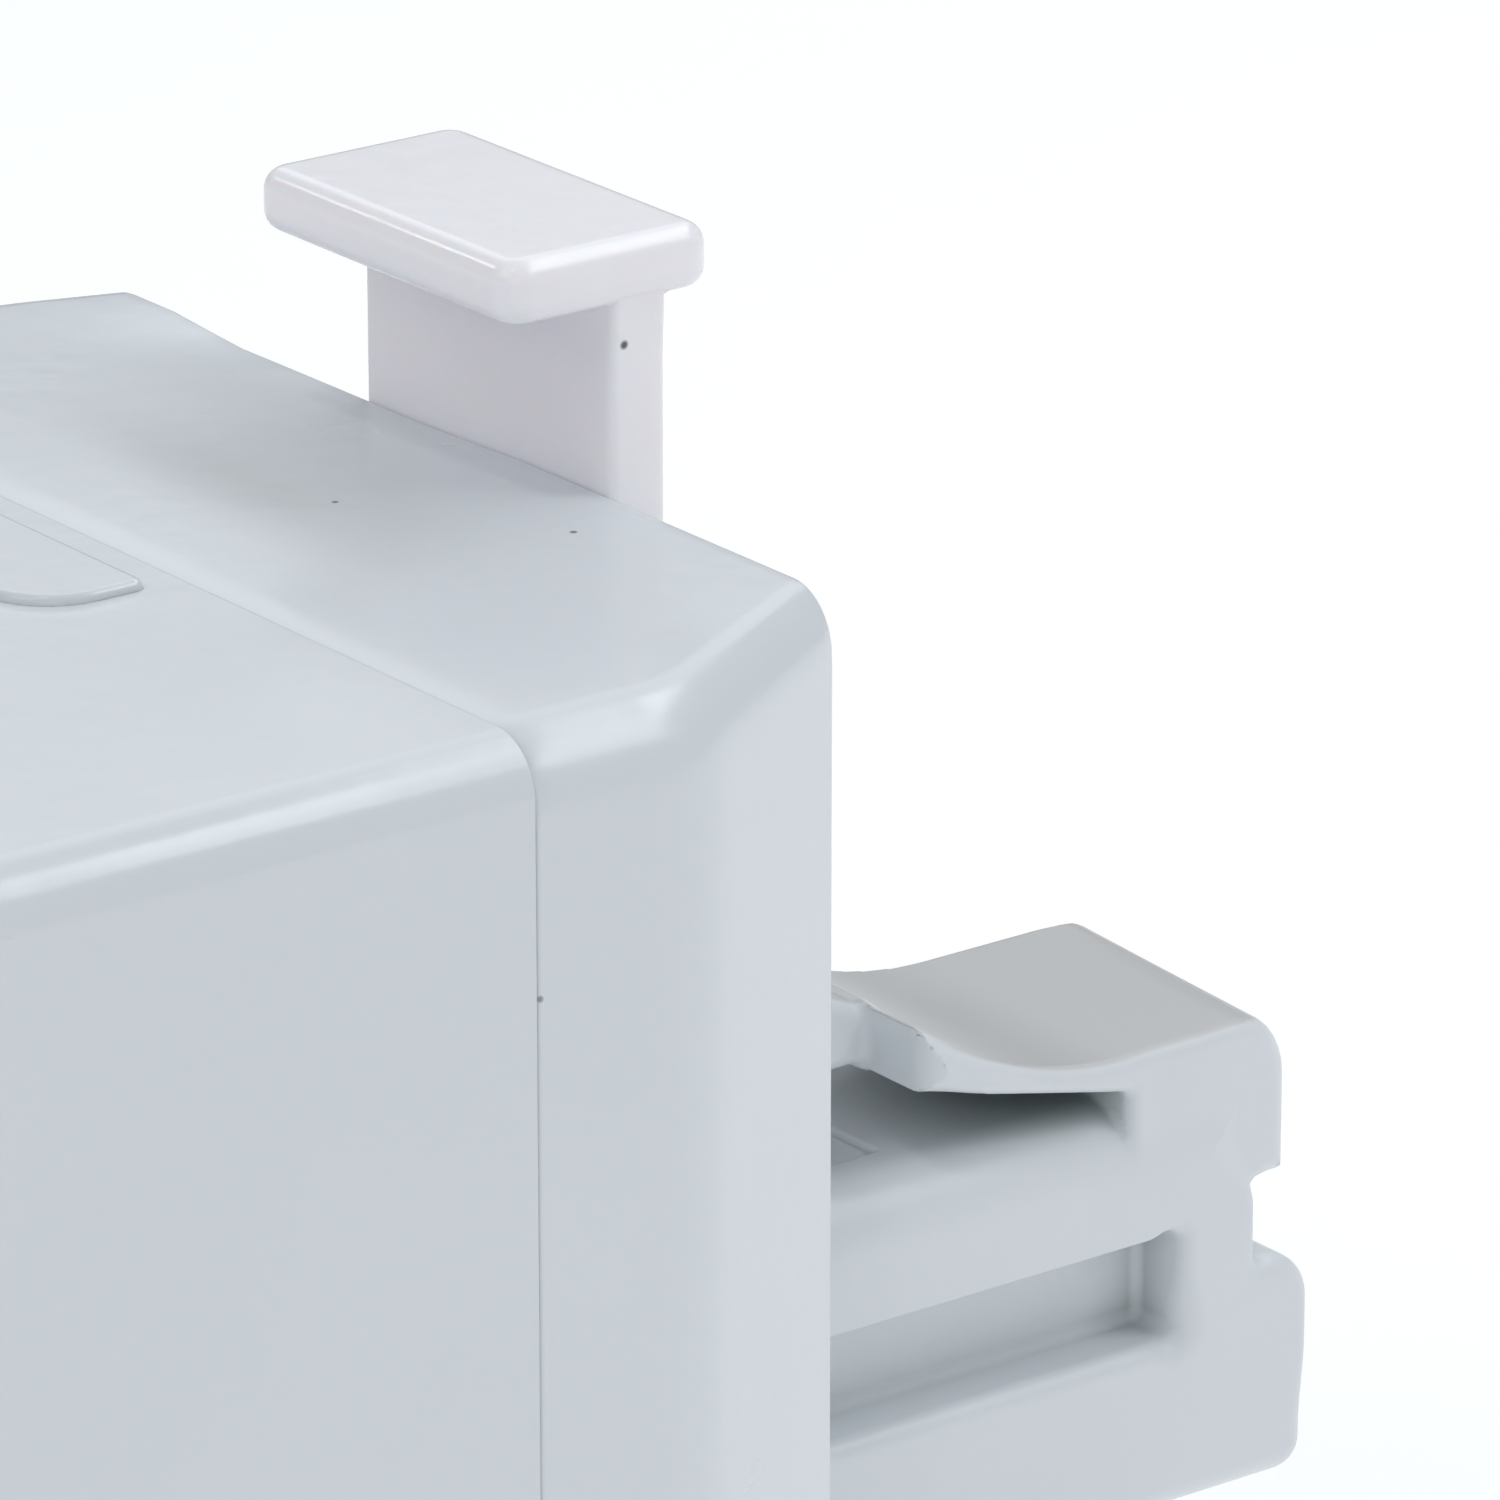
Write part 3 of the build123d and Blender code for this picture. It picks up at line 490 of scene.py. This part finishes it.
shell_plastic = moulded_plastic("shell_plastic", (0.70, 0.735, 0.76), (0.685, 0.72, 0.75), 0.22)
tab_plastic = moulded_plastic(
    "tab_plastic", (0.92, 0.913, 0.955), (0.905, 0.898, 0.945), 0.22,
    Subsurface_Weight=0.25, Subsurface_Scale=0.004,
)
tongue_plastic = moulded_plastic(
    "tongue_plastic", (0.735, 0.765, 0.785), (0.715, 0.745, 0.77), 0.34, Specular_IOR_Level=0.3,
)
# Painted shade: the upward faces of the tongue's top block and arm are darkened in the base colour
paint_top_shade(tongue_plastic, TOP - 50.0, TOP - 47.0, (0.58, 0.58, 0.575))
# Painted shade: the tongue's recesses are darkened in the base colour by an ambient occlusion mask
paint_recess_shade(tongue_plastic, 0.006, (0.22, 0.26, 0.26))
SPECKS = [
    (tab_plastic, (12.5, 32.9, 105.1), 0.27, (0.12, 0.12, 0.12)),
    (shell_plastic, (3.35, 18.8, 96), 0.2, (0.12, 0.16, 0.22)),
    (shell_plastic, (16.0, 26.6, 96), 0.22, (0.14, 0.15, 0.18)),
    (shell_plastic, (43.3, 4.2, 81.1), 0.2, (0.3, 0.31, 0.32)),
    (tongue_plastic, (9.7, 68.4, 43.2), 0.4, (0.42, 0.44, 0.42)),
]
for mark in SPECKS:
    speck(*mark)
inner_plastic = moulded_plastic("inner_plastic", (0.26, 0.27, 0.29), (0.23, 0.24, 0.26), 0.45, ripple=0.05)
zinc = metal("zinc_plate", (0.6, 0.61, 0.62), 0.32)
turned_brass = metal("turned_brass", (0.72, 0.53, 0.24), 0.28)


def finish(piece, body, nodes, material):
    """Gives a finished piece its body, the CAD nodes it stands for and its material."""
    piece.data.materials.clear()
    piece.data.materials.append(material)
    if body:
        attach(piece, body)
    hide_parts(*nodes)


# ---------------------------------------------------------------- front shell

EDGE = 3.4
WALL = 2.4
SEAM_GAP = 0.04
COVER_END = SEAM - SEAM_GAP
RIM_SOFTNESS = 0.28
PAD_HALF = 9.5
PAD_FRONT = -6.4
PAD_REAR = 1.6
PAD_GAP = 0.05
PLUG_SPOT = (0, 16)
PLUG_HOLE = 4.6
PLUG_REBATE = 6.0
REBATE_DEPTH = 0.9


def pad_outline(grow, front_radius, rear_radius):
    """Corners of the thumb pad's plan, grown all round."""
    return [
        (-PAD_HALF - grow, PAD_FRONT - grow, front_radius),
        (PAD_HALF + grow, PAD_FRONT - grow, front_radius),
        (PAD_HALF + grow, PAD_REAR + grow, rear_radius),
        (-PAD_HALF - grow, PAD_REAR + grow, rear_radius),
    ]


def build_front_cover():
    """Front shell with the pad's opening in its top and the plug's stepped hole in its face."""
    piece = block("front_shell", (-HALF, FRONT, 0), (HALF, COVER_END, TOP))

    def outer_edge(middle, direction):
        upright = abs(direction.z) > 0.9 and middle.y < FRONT + 0.1
        rim = middle.z > TOP - 0.1 and middle.y < COVER_END - 0.1
        return upright or rim

    bevel(piece, outer_edge, EDGE, segments=12)
    cavity = block("cavity", (WALL - HALF, FRONT + WALL, -1), (HALF - WALL, COVER_END + 1, TOP - WALL))
    opening = prism("opening", rounded(pad_outline(PAD_GAP, 4.7, 0.8)), "Z", TOP - 2 * WALL, TOP + 2)
    hole = rods("plug_hole", "Y", [PLUG_SPOT], PLUG_HOLE, FRONT - 1, FRONT + 2 * WALL, 64)
    rebate = rods("plug_rebate", "Y", [PLUG_SPOT], PLUG_REBATE, FRONT - 1, FRONT + REBATE_DEPTH, 64)
    for tool in (cavity, opening, hole, rebate):
        boolean(piece, tool, "DIFFERENCE")
    soften(piece, RIM_SOFTNESS, segments=3)
    shade(piece)
    finish(piece, "housing", ["front_cover"], shell_plastic)


# ---------------------------------------------------------------- rear shell


# Each rear corner is cut back from a bend, at its Y, to a half width at the back plane, over a soft length
BENDS = {1: (15.5, 33.4, 3.0), -1: (24.0, 40.3, 2.2)}
SEAM_ROUND = 2.6
SEAM_DROP = 0.42
TOP_RADIUS = 4.7
RADIUS_LOSS = 1.1
LOSS_START = 12
SINK_START = 20
BACK_WALL = 3
BOSS_SPOTS = [(x, z) for x in (-26.5, 26.5) for z in (14, 82)]
BOSS_RADIUS = 4.8
BORE_RADIUS = 3.2
BORE_DEPTH = 12
SHANK_RADIUS = 1.7
ARC_STEPS = 14
TOP_STEPS = 16
SHOULDER_WIDTH = 8


def half_at(side, y):
    """Half width at Y: full until a soft bend, then a straight taper to the back plane."""
    bend, end, soft = BENDS[side]
    slope = (HALF - end) / (BACK - bend)
    reach = y - bend
    if reach <= -soft:
        return HALF
    if reach >= soft:
        return HALF - slope * reach
    return HALF - slope * (reach + soft) ** 2 / (4 * soft)


def top_at(y):
    """Height at Y: rounded down a little beside the seam."""
    reach = min(max((y - SEAM) / SEAM_ROUND, 0), 1)
    return TOP - SEAM_DROP * (1 - sqrt(1 - (1 - reach) ** 2))


def radius_at(y):
    """Radius of the upper side edges at Y, smaller towards the back."""
    return TOP_RADIUS - RADIUS_LOSS * max(0, (y - LOSS_START) / (BACK - LOSS_START))


def sink_at(x, y):
    """Moulding sink of the top, along its left rear edge and towards that corner."""
    edge = 0.36 * max(0, (y - SINK_START) / (BACK - SINK_START)) ** 2
    corner = 0.4 * max(0, (y - LOSS_START) / (BACK - LOSS_START)) ** 2 * max(0, -x / HALF) ** 2
    return (edge + corner) * min(max((4 - x) / 10, 0), 1)


def shell_ring(y):
    """Section of the rear shell across Y."""
    right, left = half_at(1, y), half_at(-1, y)
    top, radius = top_at(y), radius_at(y)
    ring = [Vector((right, y, 0)), Vector((right, y, TOP - SHOULDER_WIDTH))]
    for i in range(ARC_STEPS + 1):
        turn = radians(90 * i / ARC_STEPS)
        ring.append(Vector((right - radius + radius * cos(turn), y, top - radius + radius * sin(turn))))
    for i in range(TOP_STEPS + 1):
        x = right - SHOULDER_WIDTH - (right + left - 2 * SHOULDER_WIDTH) * i / TOP_STEPS
        ring.append(Vector((x, y, top - sink_at(x, y) * min(i / 2, (TOP_STEPS - i) / 2, 1))))
    for i in range(ARC_STEPS + 1):
        turn = radians(90 + 90 * i / ARC_STEPS)
        ring.append(Vector((radius - left + radius * cos(turn), y, top - radius + radius * sin(turn))))
    return ring + [Vector((-left, y, TOP - SHOULDER_WIDTH)), Vector((-left, y, 0))]


def build_rear_shell():
    """Rear shell with its screw bosses, the tongue's window and the finger's slot."""
    # Sections stand close together beside the seam and at the two bends
    stations = [SEAM + SEAM_GAP, 4.4, 4.8, 5.3, 5.9, 6.6, 8, 10, 12]
    stations += [12.5 + 0.5 * i for i in range(12)]
    stations += [19.5, 21] + [21.5 + 0.5 * i for i in range(11)] + [28, 29.5, 31, BACK]
    piece = loft("rear_shell", [shell_ring(y) for y in stations])

    inner = BACK - BACK_WALL
    cavity = [
        (WALL - HALF, SEAM - 1),
        (HALF - WALL, SEAM - 1),
        (HALF - WALL, BENDS[1][0] - 1),
        (BENDS[1][1] - 0.8, inner),
        (0.4 - BENDS[-1][1], inner),
        (WALL - HALF, BENDS[-1][0] - 1),
    ]
    boolean(piece, prism("cavity", cavity, "Z", -1, TOP - WALL), "DIFFERENCE")
    boolean(piece, rods("tubes", "Y", BOSS_SPOTS, BOSS_RADIUS, SEAM + SEAM_GAP, inner + 0.5), "UNION")
    bores = rods("bores", "Y", BOSS_SPOTS, BORE_RADIUS, BACK - BORE_DEPTH, BACK + 1, 48)
    shanks = rods("shanks", "Y", BOSS_SPOTS, SHANK_RADIUS, SEAM - 1, BACK)
    window = block("window", (-10.75, inner - 1, TOP - 77.05), (10.75, BACK + 1, TOP - 49.25))
    slot = block("slot", (-3.7, inner - 1, TOP - 30), (3.7, BACK + 1, TOP - 13.6))
    for tool in (bores, shanks, window, slot):
        boolean(piece, tool, "DIFFERENCE")
    soften(piece, 0.3, segments=3)
    shade(piece)
    finish(piece, "housing", ["rear_housing"], shell_plastic)


# ---------------------------------------------------------------- release slide


# Heights above the housing's top, and distances behind its back plane
CAP_LOW = 11.5
CAP_HIGH = 15.4
CAP_HALF = 12.9
CAP_FRONT = -7.6
CAP_REAR = 7.3
PLATE_FRONT = 0.05
PLATE_REAR = 3.95
PLATE_LOW = -36.0
PLATE_HIGH = 13.5
FINGER_HALF = 4.4
FINGER_LOW = -38.4
FINGER_HIGH = -35.0
LUG_HALF = 3.5
LUG_LOW = -18.5
LUG_HIGH = -14.0
LUG_FRONT = -14.0
ROD_FRONT = -9.5
ROD_HOLE = 1.56
TAB_CELL = 0.33


def tab_field(x, y, z):
    """Cap, plate, finger and lug of the release slide."""
    y = y - BACK
    z = z - TOP
    side = np.abs(x)
    plan = box_field(x, y, (-CAP_HALF, CAP_FRONT), (CAP_HALF, CAP_REAR), 1.9)
    cap = meet(plan, slab(z, CAP_LOW, CAP_HIGH), 1.35)
    sheet = slab(y, PLATE_FRONT, PLATE_REAR)
    end = 12.4 + 0.14 * ease(z, 8.0, CAP_LOW)
    plate = meet(meet(sheet, side - end, 0.5), np.maximum(z - PLATE_HIGH, PLATE_LOW - z), 0.3)
    # The fillet under the cap runs along the middle of each half
    tab = join(cap, plate, 0.7 * ease(-np.abs(side - 8.0), -4.4, -2.6))
    finger = meet(meet(sheet, side - FINGER_HALF, 0.4), np.maximum(z - FINGER_HIGH, FINGER_LOW - z), 0.4)
    tab = join(tab, finger, 0.5)
    lug = meet(meet(side - LUG_HALF, slab(z, LUG_LOW, LUG_HIGH), 0.4), np.maximum(y - 1.0, LUG_FRONT - y), 0.4)
    lug = np.maximum(lug, ROD_HOLE - np.hypot(x, y - ROD_FRONT))
    return join(tab, lug, 0.4)


def build_release_slide():
    """The T tab with its plate, the finger below it and the spring's lug."""
    low = (-CAP_HALF, BACK + LUG_FRONT, TOP + FINGER_LOW)
    high = (CAP_HALF, BACK + CAP_REAR, TOP + CAP_HIGH)
    piece = skin("release_tab", tab_field, low, high, TAB_CELL)
    shade_from(piece, tab_field)
    finish(piece, "release_slide", ["release_slide"], tab_plastic)


# ---------------------------------------------------------------- thumb button


FLANGE_LOW = TOP - 4.1
FLANGE_HIGH = TOP - 2.5
STEM_BEND = TOP - 16
STEM_HALF = 2.5


def build_thumb_button():
    """Pad with a soft upper edge, the flange that stops it, and the stem that slants back to the bolt."""
    top = button_high.z
    levels = [
        (0, TOP - 2.6), (0, top - 0.55), (0.03, top - 0.36), (0.12, top - 0.18), (0.27, top - 0.06), (0.5, top),
    ]
    rings = []
    for inset, height in levels:
        corners = pad_outline(-inset, max(4.6 - inset, 0.2), max(0.7 - inset, 0.2))
        rings.append([Vector((a, b, height)) for a, b in rounded(corners, 10)])
    piece = loft("thumb_pad", rings)
    boolean(piece, block("flange", (-10.7, -6.2, FLANGE_LOW), (10.7, 1.4, FLANGE_HIGH)), "UNION")
    foot = button_low.z
    slant = STEM_BEND - foot
    stem = [
        (-5, FLANGE_LOW + 0.5),
        (-1, FLANGE_LOW + 0.5),
        (-1, STEM_BEND),
        (slant - 1, foot),
        (slant - 5, foot),
        (-5, STEM_BEND),
    ]
    boolean(piece, prism("stem", stem, "X", -STEM_HALF, STEM_HALF), "UNION")
    shade(piece, 30)
    finish(piece, "thumb_button", ["thumb_button"], shell_plastic)


# ---------------------------------------------------------------- tongue

# Heights below the housing's top, and distances behind its back plane
BEAM_TOP = -49.3
TONGUE_LOW = -77.0
TONGUE_START = -3.0
TONGUE_END = 56.0
FOOT_TOP = -61.8
NECK_END = 51.6
HEAD_END = 54.7
HEAD_LOW = -56.7
BLOCK_TOP = -45.5
PIVOT = 41.5
SLOT_END = PIVOT - 0.3
SHOULDER = 25.0
SHOULDER_LOW = -44.2
ROOT_LOW = -47.9
NOSE_START = 1.5
NOSE_TOP = -38.8
RAMP_RADIUS = 27.0
RAMP_STEPS = 24
POCKET_LOW = -65.4
POCKET_HIGH = -58.05
POCKET_END = 45.4
# Half widths
BEAM_HALF = 10.7
HEAD_HALF = 10.65
NOSE_HALF = 4.5
CHANNEL_HALF = 5.2
WEB_HALF = 6.0
TONGUE_CELL = 0.36


def ramp(y):
    """Height of the arm's hollow top."""
    return BLOCK_TOP + RAMP_RADIUS - sqrt(RAMP_RADIUS ** 2 - (PIVOT - y) ** 2)


def head_side(end_radius):
    """Outline of the top block and the arm, its far upper corner rounded."""
    stations = [SHOULDER + (PIVOT - SHOULDER) * i / RAMP_STEPS for i in range(RAMP_STEPS + 1)]
    return rounded(
        [
            (HEAD_END, BLOCK_TOP, end_radius),
            (HEAD_END, HEAD_LOW, 0.5),
            (PIVOT, HEAD_LOW, 0),
            (SLOT_END, -51.0, 0),
            (SLOT_END, ROOT_LOW, 0.6),
            (SHOULDER, SHOULDER_LOW, 0),
        ]
        + [(y, ramp(y), 0) for y in stations]
    )


BEAM_SIDE = rounded([
    (TONGUE_START, BEAM_TOP, 0),
    (TONGUE_START, TONGUE_LOW, 0),
    (TONGUE_END, TONGUE_LOW, 2.2),
    (TONGUE_END, FOOT_TOP, 3.3),
    (NECK_END, FOOT_TOP, 0.5),
    (NECK_END, BEAM_TOP, 1.6),
])
HEAD_RIGHT = head_side(4.4)
HEAD_LEFT = head_side(2.2)
NOSE_SIDE = rounded([
    (NOSE_START, SHOULDER_LOW, 1.0),
    (SHOULDER + 3, SHOULDER_LOW + 0.3, 0),
    (SHOULDER + 3, SHOULDER_LOW + 1.2, 0),
    (SHOULDER + 0.6, ramp(SHOULDER) - 0.5, 1),
    (22.0, NOSE_TOP, 3),
    (NOSE_START, NOSE_TOP, 1.4),
])
CHANNEL_SIDE = [(-0.5, -38.0), (25.2, -38.0), (25.2, -49.9), (-0.5, -57.8)]


def tongue_field(x, y, z):
    """Beam, foot, top block, snap arm and nose as one moulding."""
    y = y - BACK
    z = z - TOP
    side = np.abs(x)

    # The beam's upper edges are softer than its lower ones
    edge = 1.3 + 3.2 * ease(z, -58.0, -53.0) + 0.7 * ease(-z, 68.0, 74.0)
    beam = meet(outline_field(y, z, BEAM_SIDE), side - BEAM_HALF, edge)
    channel = meet(side - CHANNEL_HALF, outline_field(y, z, CHANNEL_SIDE), 0.4)
    beam = cut(beam, channel, 0.4)

    # The head narrows and its corners open out towards the far right end
    right = np.clip((x + HEAD_HALF) / (2 * HEAD_HALF), 0, 1)
    narrowing = (0.35 * ease(y, 39.0, 44.0) + 0.3 * ease(y, 45.0, 54.0)) * right
    corner = 1.0 + 0.9 * ease(-y, -31.0, -26.0) + 1.0 * ease(y, 50.0, 54.0)
    corner = corner * (0.35 + 0.65 * ease(x, -2.0, 2.0))
    profile = right * outline_field(y, z, HEAD_RIGHT) + (1 - right) * outline_field(y, z, HEAD_LEFT)
    head = meet(profile, side + narrowing - HEAD_HALF, corner)
    nose = meet(outline_field(y, z, NOSE_SIDE), side - NOSE_HALF, 1.1)
    body = join(join(head, nose, 0.9), beam, 0.45)

    lip = 0.3 + 0.9 * ease(-z, 60.5, 64.5) + 0.8 * ease(y, 42.5, 44.5)
    opening = box_field(y, z, (0.0, POCKET_LOW), (POCKET_END, POCKET_HIGH), 0.9)
    return cut(body, meet(WEB_HALF - side, opening, 0.7), lip)


def build_tongue_and_arm():
    """The moulding, split across the arm's root and along the slot's end."""
    low = (-BEAM_HALF, BACK + TONGUE_START, TOP + TONGUE_LOW)
    high = (BEAM_HALF, BACK + TONGUE_END, TOP + NOSE_TOP)
    whole = skin("tongue_moulding", tongue_field, low, high, TONGUE_CELL)
    bm = bmesh.new()
    bm.from_mesh(whole.data)
    split_y = (BACK + PIVOT + 1.0) * MM
    split_z = (TOP + ROOT_LOW - 0.75) * MM
    for point, normal in (((0, split_y, 0), (0, 1, 0)), ((0, 0, split_z), (0, 0, 1))):
        everything = bm.verts[:] + bm.edges[:] + bm.faces[:]
        bmesh.ops.bisect_plane(bm, geom=everything, dist=1e-7, plane_co=point, plane_no=normal)
    bm.faces.index_update()
    numbers = set()
    for face in bm.faces:
        middle = face.calc_center_median()
        if middle.y < split_y and middle.z > split_z:
            numbers.add(face.index)
    arm_bm = bm.copy()
    arm_bm.faces.index_update()
    bmesh.ops.delete(bm, geom=[f for f in bm.faces if f.index in numbers], context="FACES")
    bmesh.ops.delete(arm_bm, geom=[f for f in arm_bm.faces if f.index not in numbers], context="FACES")
    arm_mesh = bpy.data.meshes.new("snap_arm_moulding")
    arm_piece = bpy.data.objects.new("snap_arm_moulding", arm_mesh)
    bpy.context.scene.collection.objects.link(arm_piece)
    for half, piece in ((bm, whole), (arm_bm, arm_piece)):
        rim = [edge for edge in half.edges if edge.is_boundary]
        bmesh.ops.holes_fill(half, edges=rim, sides=0)
        bmesh.ops.recalc_face_normals(half, faces=half.faces)
        half.to_mesh(piece.data)
        half.free()
        shade_from(piece, tongue_field)
    finish(whole, "housing", ["latch_tongue"], tongue_plastic)
    finish(arm_piece, None, ["snap_arm"], tongue_plastic)
    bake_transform(arm_piece)


build_front_cover()
build_rear_shell()
build_release_slide()
build_thumb_button()
build_tongue_and_arm()

# ---------------------------------------------------------------- CAD parts that stay

KEPT = {
    shell_plastic: ["slide_guide", "base_plate", "screw_plug"],
    inner_plastic: ["spring_seat", "lock_bolt", "bolt_guide", "bolt_guide_lid", "stile_socket"],
    turned_brass: ["cover_inserts"],
    zinc: [
        "slide_guide_screws", "seat_screws", "tongue_screws", "guide_screws", "cover_screws", "base_screws",
        "socket_screws", "clamp_screw", "clamp_nut", "spring_rod", "rod_clip", "return_spring", "button_springs",
    ],
}
for material, names in KEPT.items():
    for name in names:
        for material_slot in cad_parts[name].material_slots:
            material_slot.material = material

# ---------------------------------------------------------------- floor, light and camera

floor = block("floor", (-3000, -3000, -20), (3000, 3000, 0))
floor_material, floor_shader = principled("floor_paint", (0.93, 0.93, 0.93), 0.7)
floor_shader.inputs["Emission Color"].default_value = (1, 1, 1, 1)
floor_shader.inputs["Emission Strength"].default_value = 0.22
floor.data.materials.append(floor_material)

MIDDLE = Vector((0, 30, 80))
WHITE = (1, 1, 1)
COOL = (0.93, 0.97, 1.0)


def area_light(name, place_mm, target_mm, size_mm, power, colour):
    """Rectangular lamp that looks at a target."""
    data = bpy.data.lights.new(name, "AREA")
    data.shape = "RECTANGLE"
    data.size = size_mm[0] * MM
    data.size_y = size_mm[1] * MM
    data.energy = power
    data.color = colour
    light = bpy.data.objects.new(name, data)
    light.location = Vector(place_mm) * MM
    aim = Vector(target_mm) - Vector(place_mm)
    light.rotation_euler = aim.to_track_quat("-Z", "Y").to_euler()
    bpy.context.scene.collection.objects.link(light)


def towards(direction, distance):
    """Point at a distance from the object's middle."""
    return MIDDLE + Vector(direction).normalized() * distance


# Name, direction and distance from the object's middle, width and height, watts, colour
LIGHTS = [
    ("overhead_lamp", (0.15, -0.33, 0.91), 1100, (70, 70), 0.8, (0.97, 0.985, 1.0)),
    ("ceiling_softbox", (0.12, 0.57, 0.78), 1200, (1300, 230), 5.2, COOL),
    ("side_strip", (0.5, 0.57, 0.63), 1200, (350, 160), 0.6, COOL),
    ("left_lamp", (-0.75, -0.33, 0.57), 1200, (160, 160), 0.5, WHITE),
    ("front_fill", (0.05, -0.75, 0.62), 1300, (700, 700), 2.6, WHITE),
    ("right_fill", (0.75, -0.6, 0.25), 1300, (600, 600), 1.25, WHITE),
]
for name, direction, distance, size, power, colour in LIGHTS:
    area_light(name, towards(direction, distance), MIDDLE, size, power, colour)
card_reach = Vector((-0.796, 0.605, 0)) * 900
card = Vector((0, 15, TOP)) + card_reach + Vector((0, 0, 690))
area_light("back_card", card, card - card_reach, (760, 800), 1.9, (0.95, 0.98, 1.0))

# The sky has one soft dark spot behind the object, so that the gloss has something dark to show
world = bpy.data.worlds.new("studio")
world.use_nodes = True
sky = world.node_tree
background = sky.nodes["Background"]
background.inputs["Strength"].default_value = 0.40
looking = sky.nodes.new("ShaderNodeTexCoord")
facing = sky.nodes.new("ShaderNodeVectorMath")
facing.operation = "DOT_PRODUCT"
facing.inputs[1].default_value = Vector((-0.76, 0.58, 0.15)).normalized()
sky.links.new(looking.outputs["Generated"], facing.inputs[0])
darkness = spread(sky, facing.outputs["Value"], 0.965, 0.99)
two_tone(sky, darkness, (0.93, 0.96, 1.0), (0.10, 0.10, 0.09), background.inputs["Color"])
bpy.context.scene.world = world
bpy.context.scene.view_settings.view_transform = "Standard"

CAMERA_DISTANCE_M = 0.6309
target = Vector((0, 51.44, 72.55)) * MM
outward = Vector((0.74806, -0.56787, 0.34342))
camera_data = bpy.data.cameras.new("camera")
camera_data.lens = 250.0
camera_data.sensor_width = 36.0
camera_data.clip_start = 0.01
camera_data.clip_end = 20.0
camera = bpy.data.objects.new("camera", camera_data)
camera.location = target + outward * CAMERA_DISTANCE_M
camera.rotation_euler = (-outward).to_track_quat("-Z", "Y").to_euler()
bpy.context.scene.collection.objects.link(camera)
bpy.context.scene.camera = camera
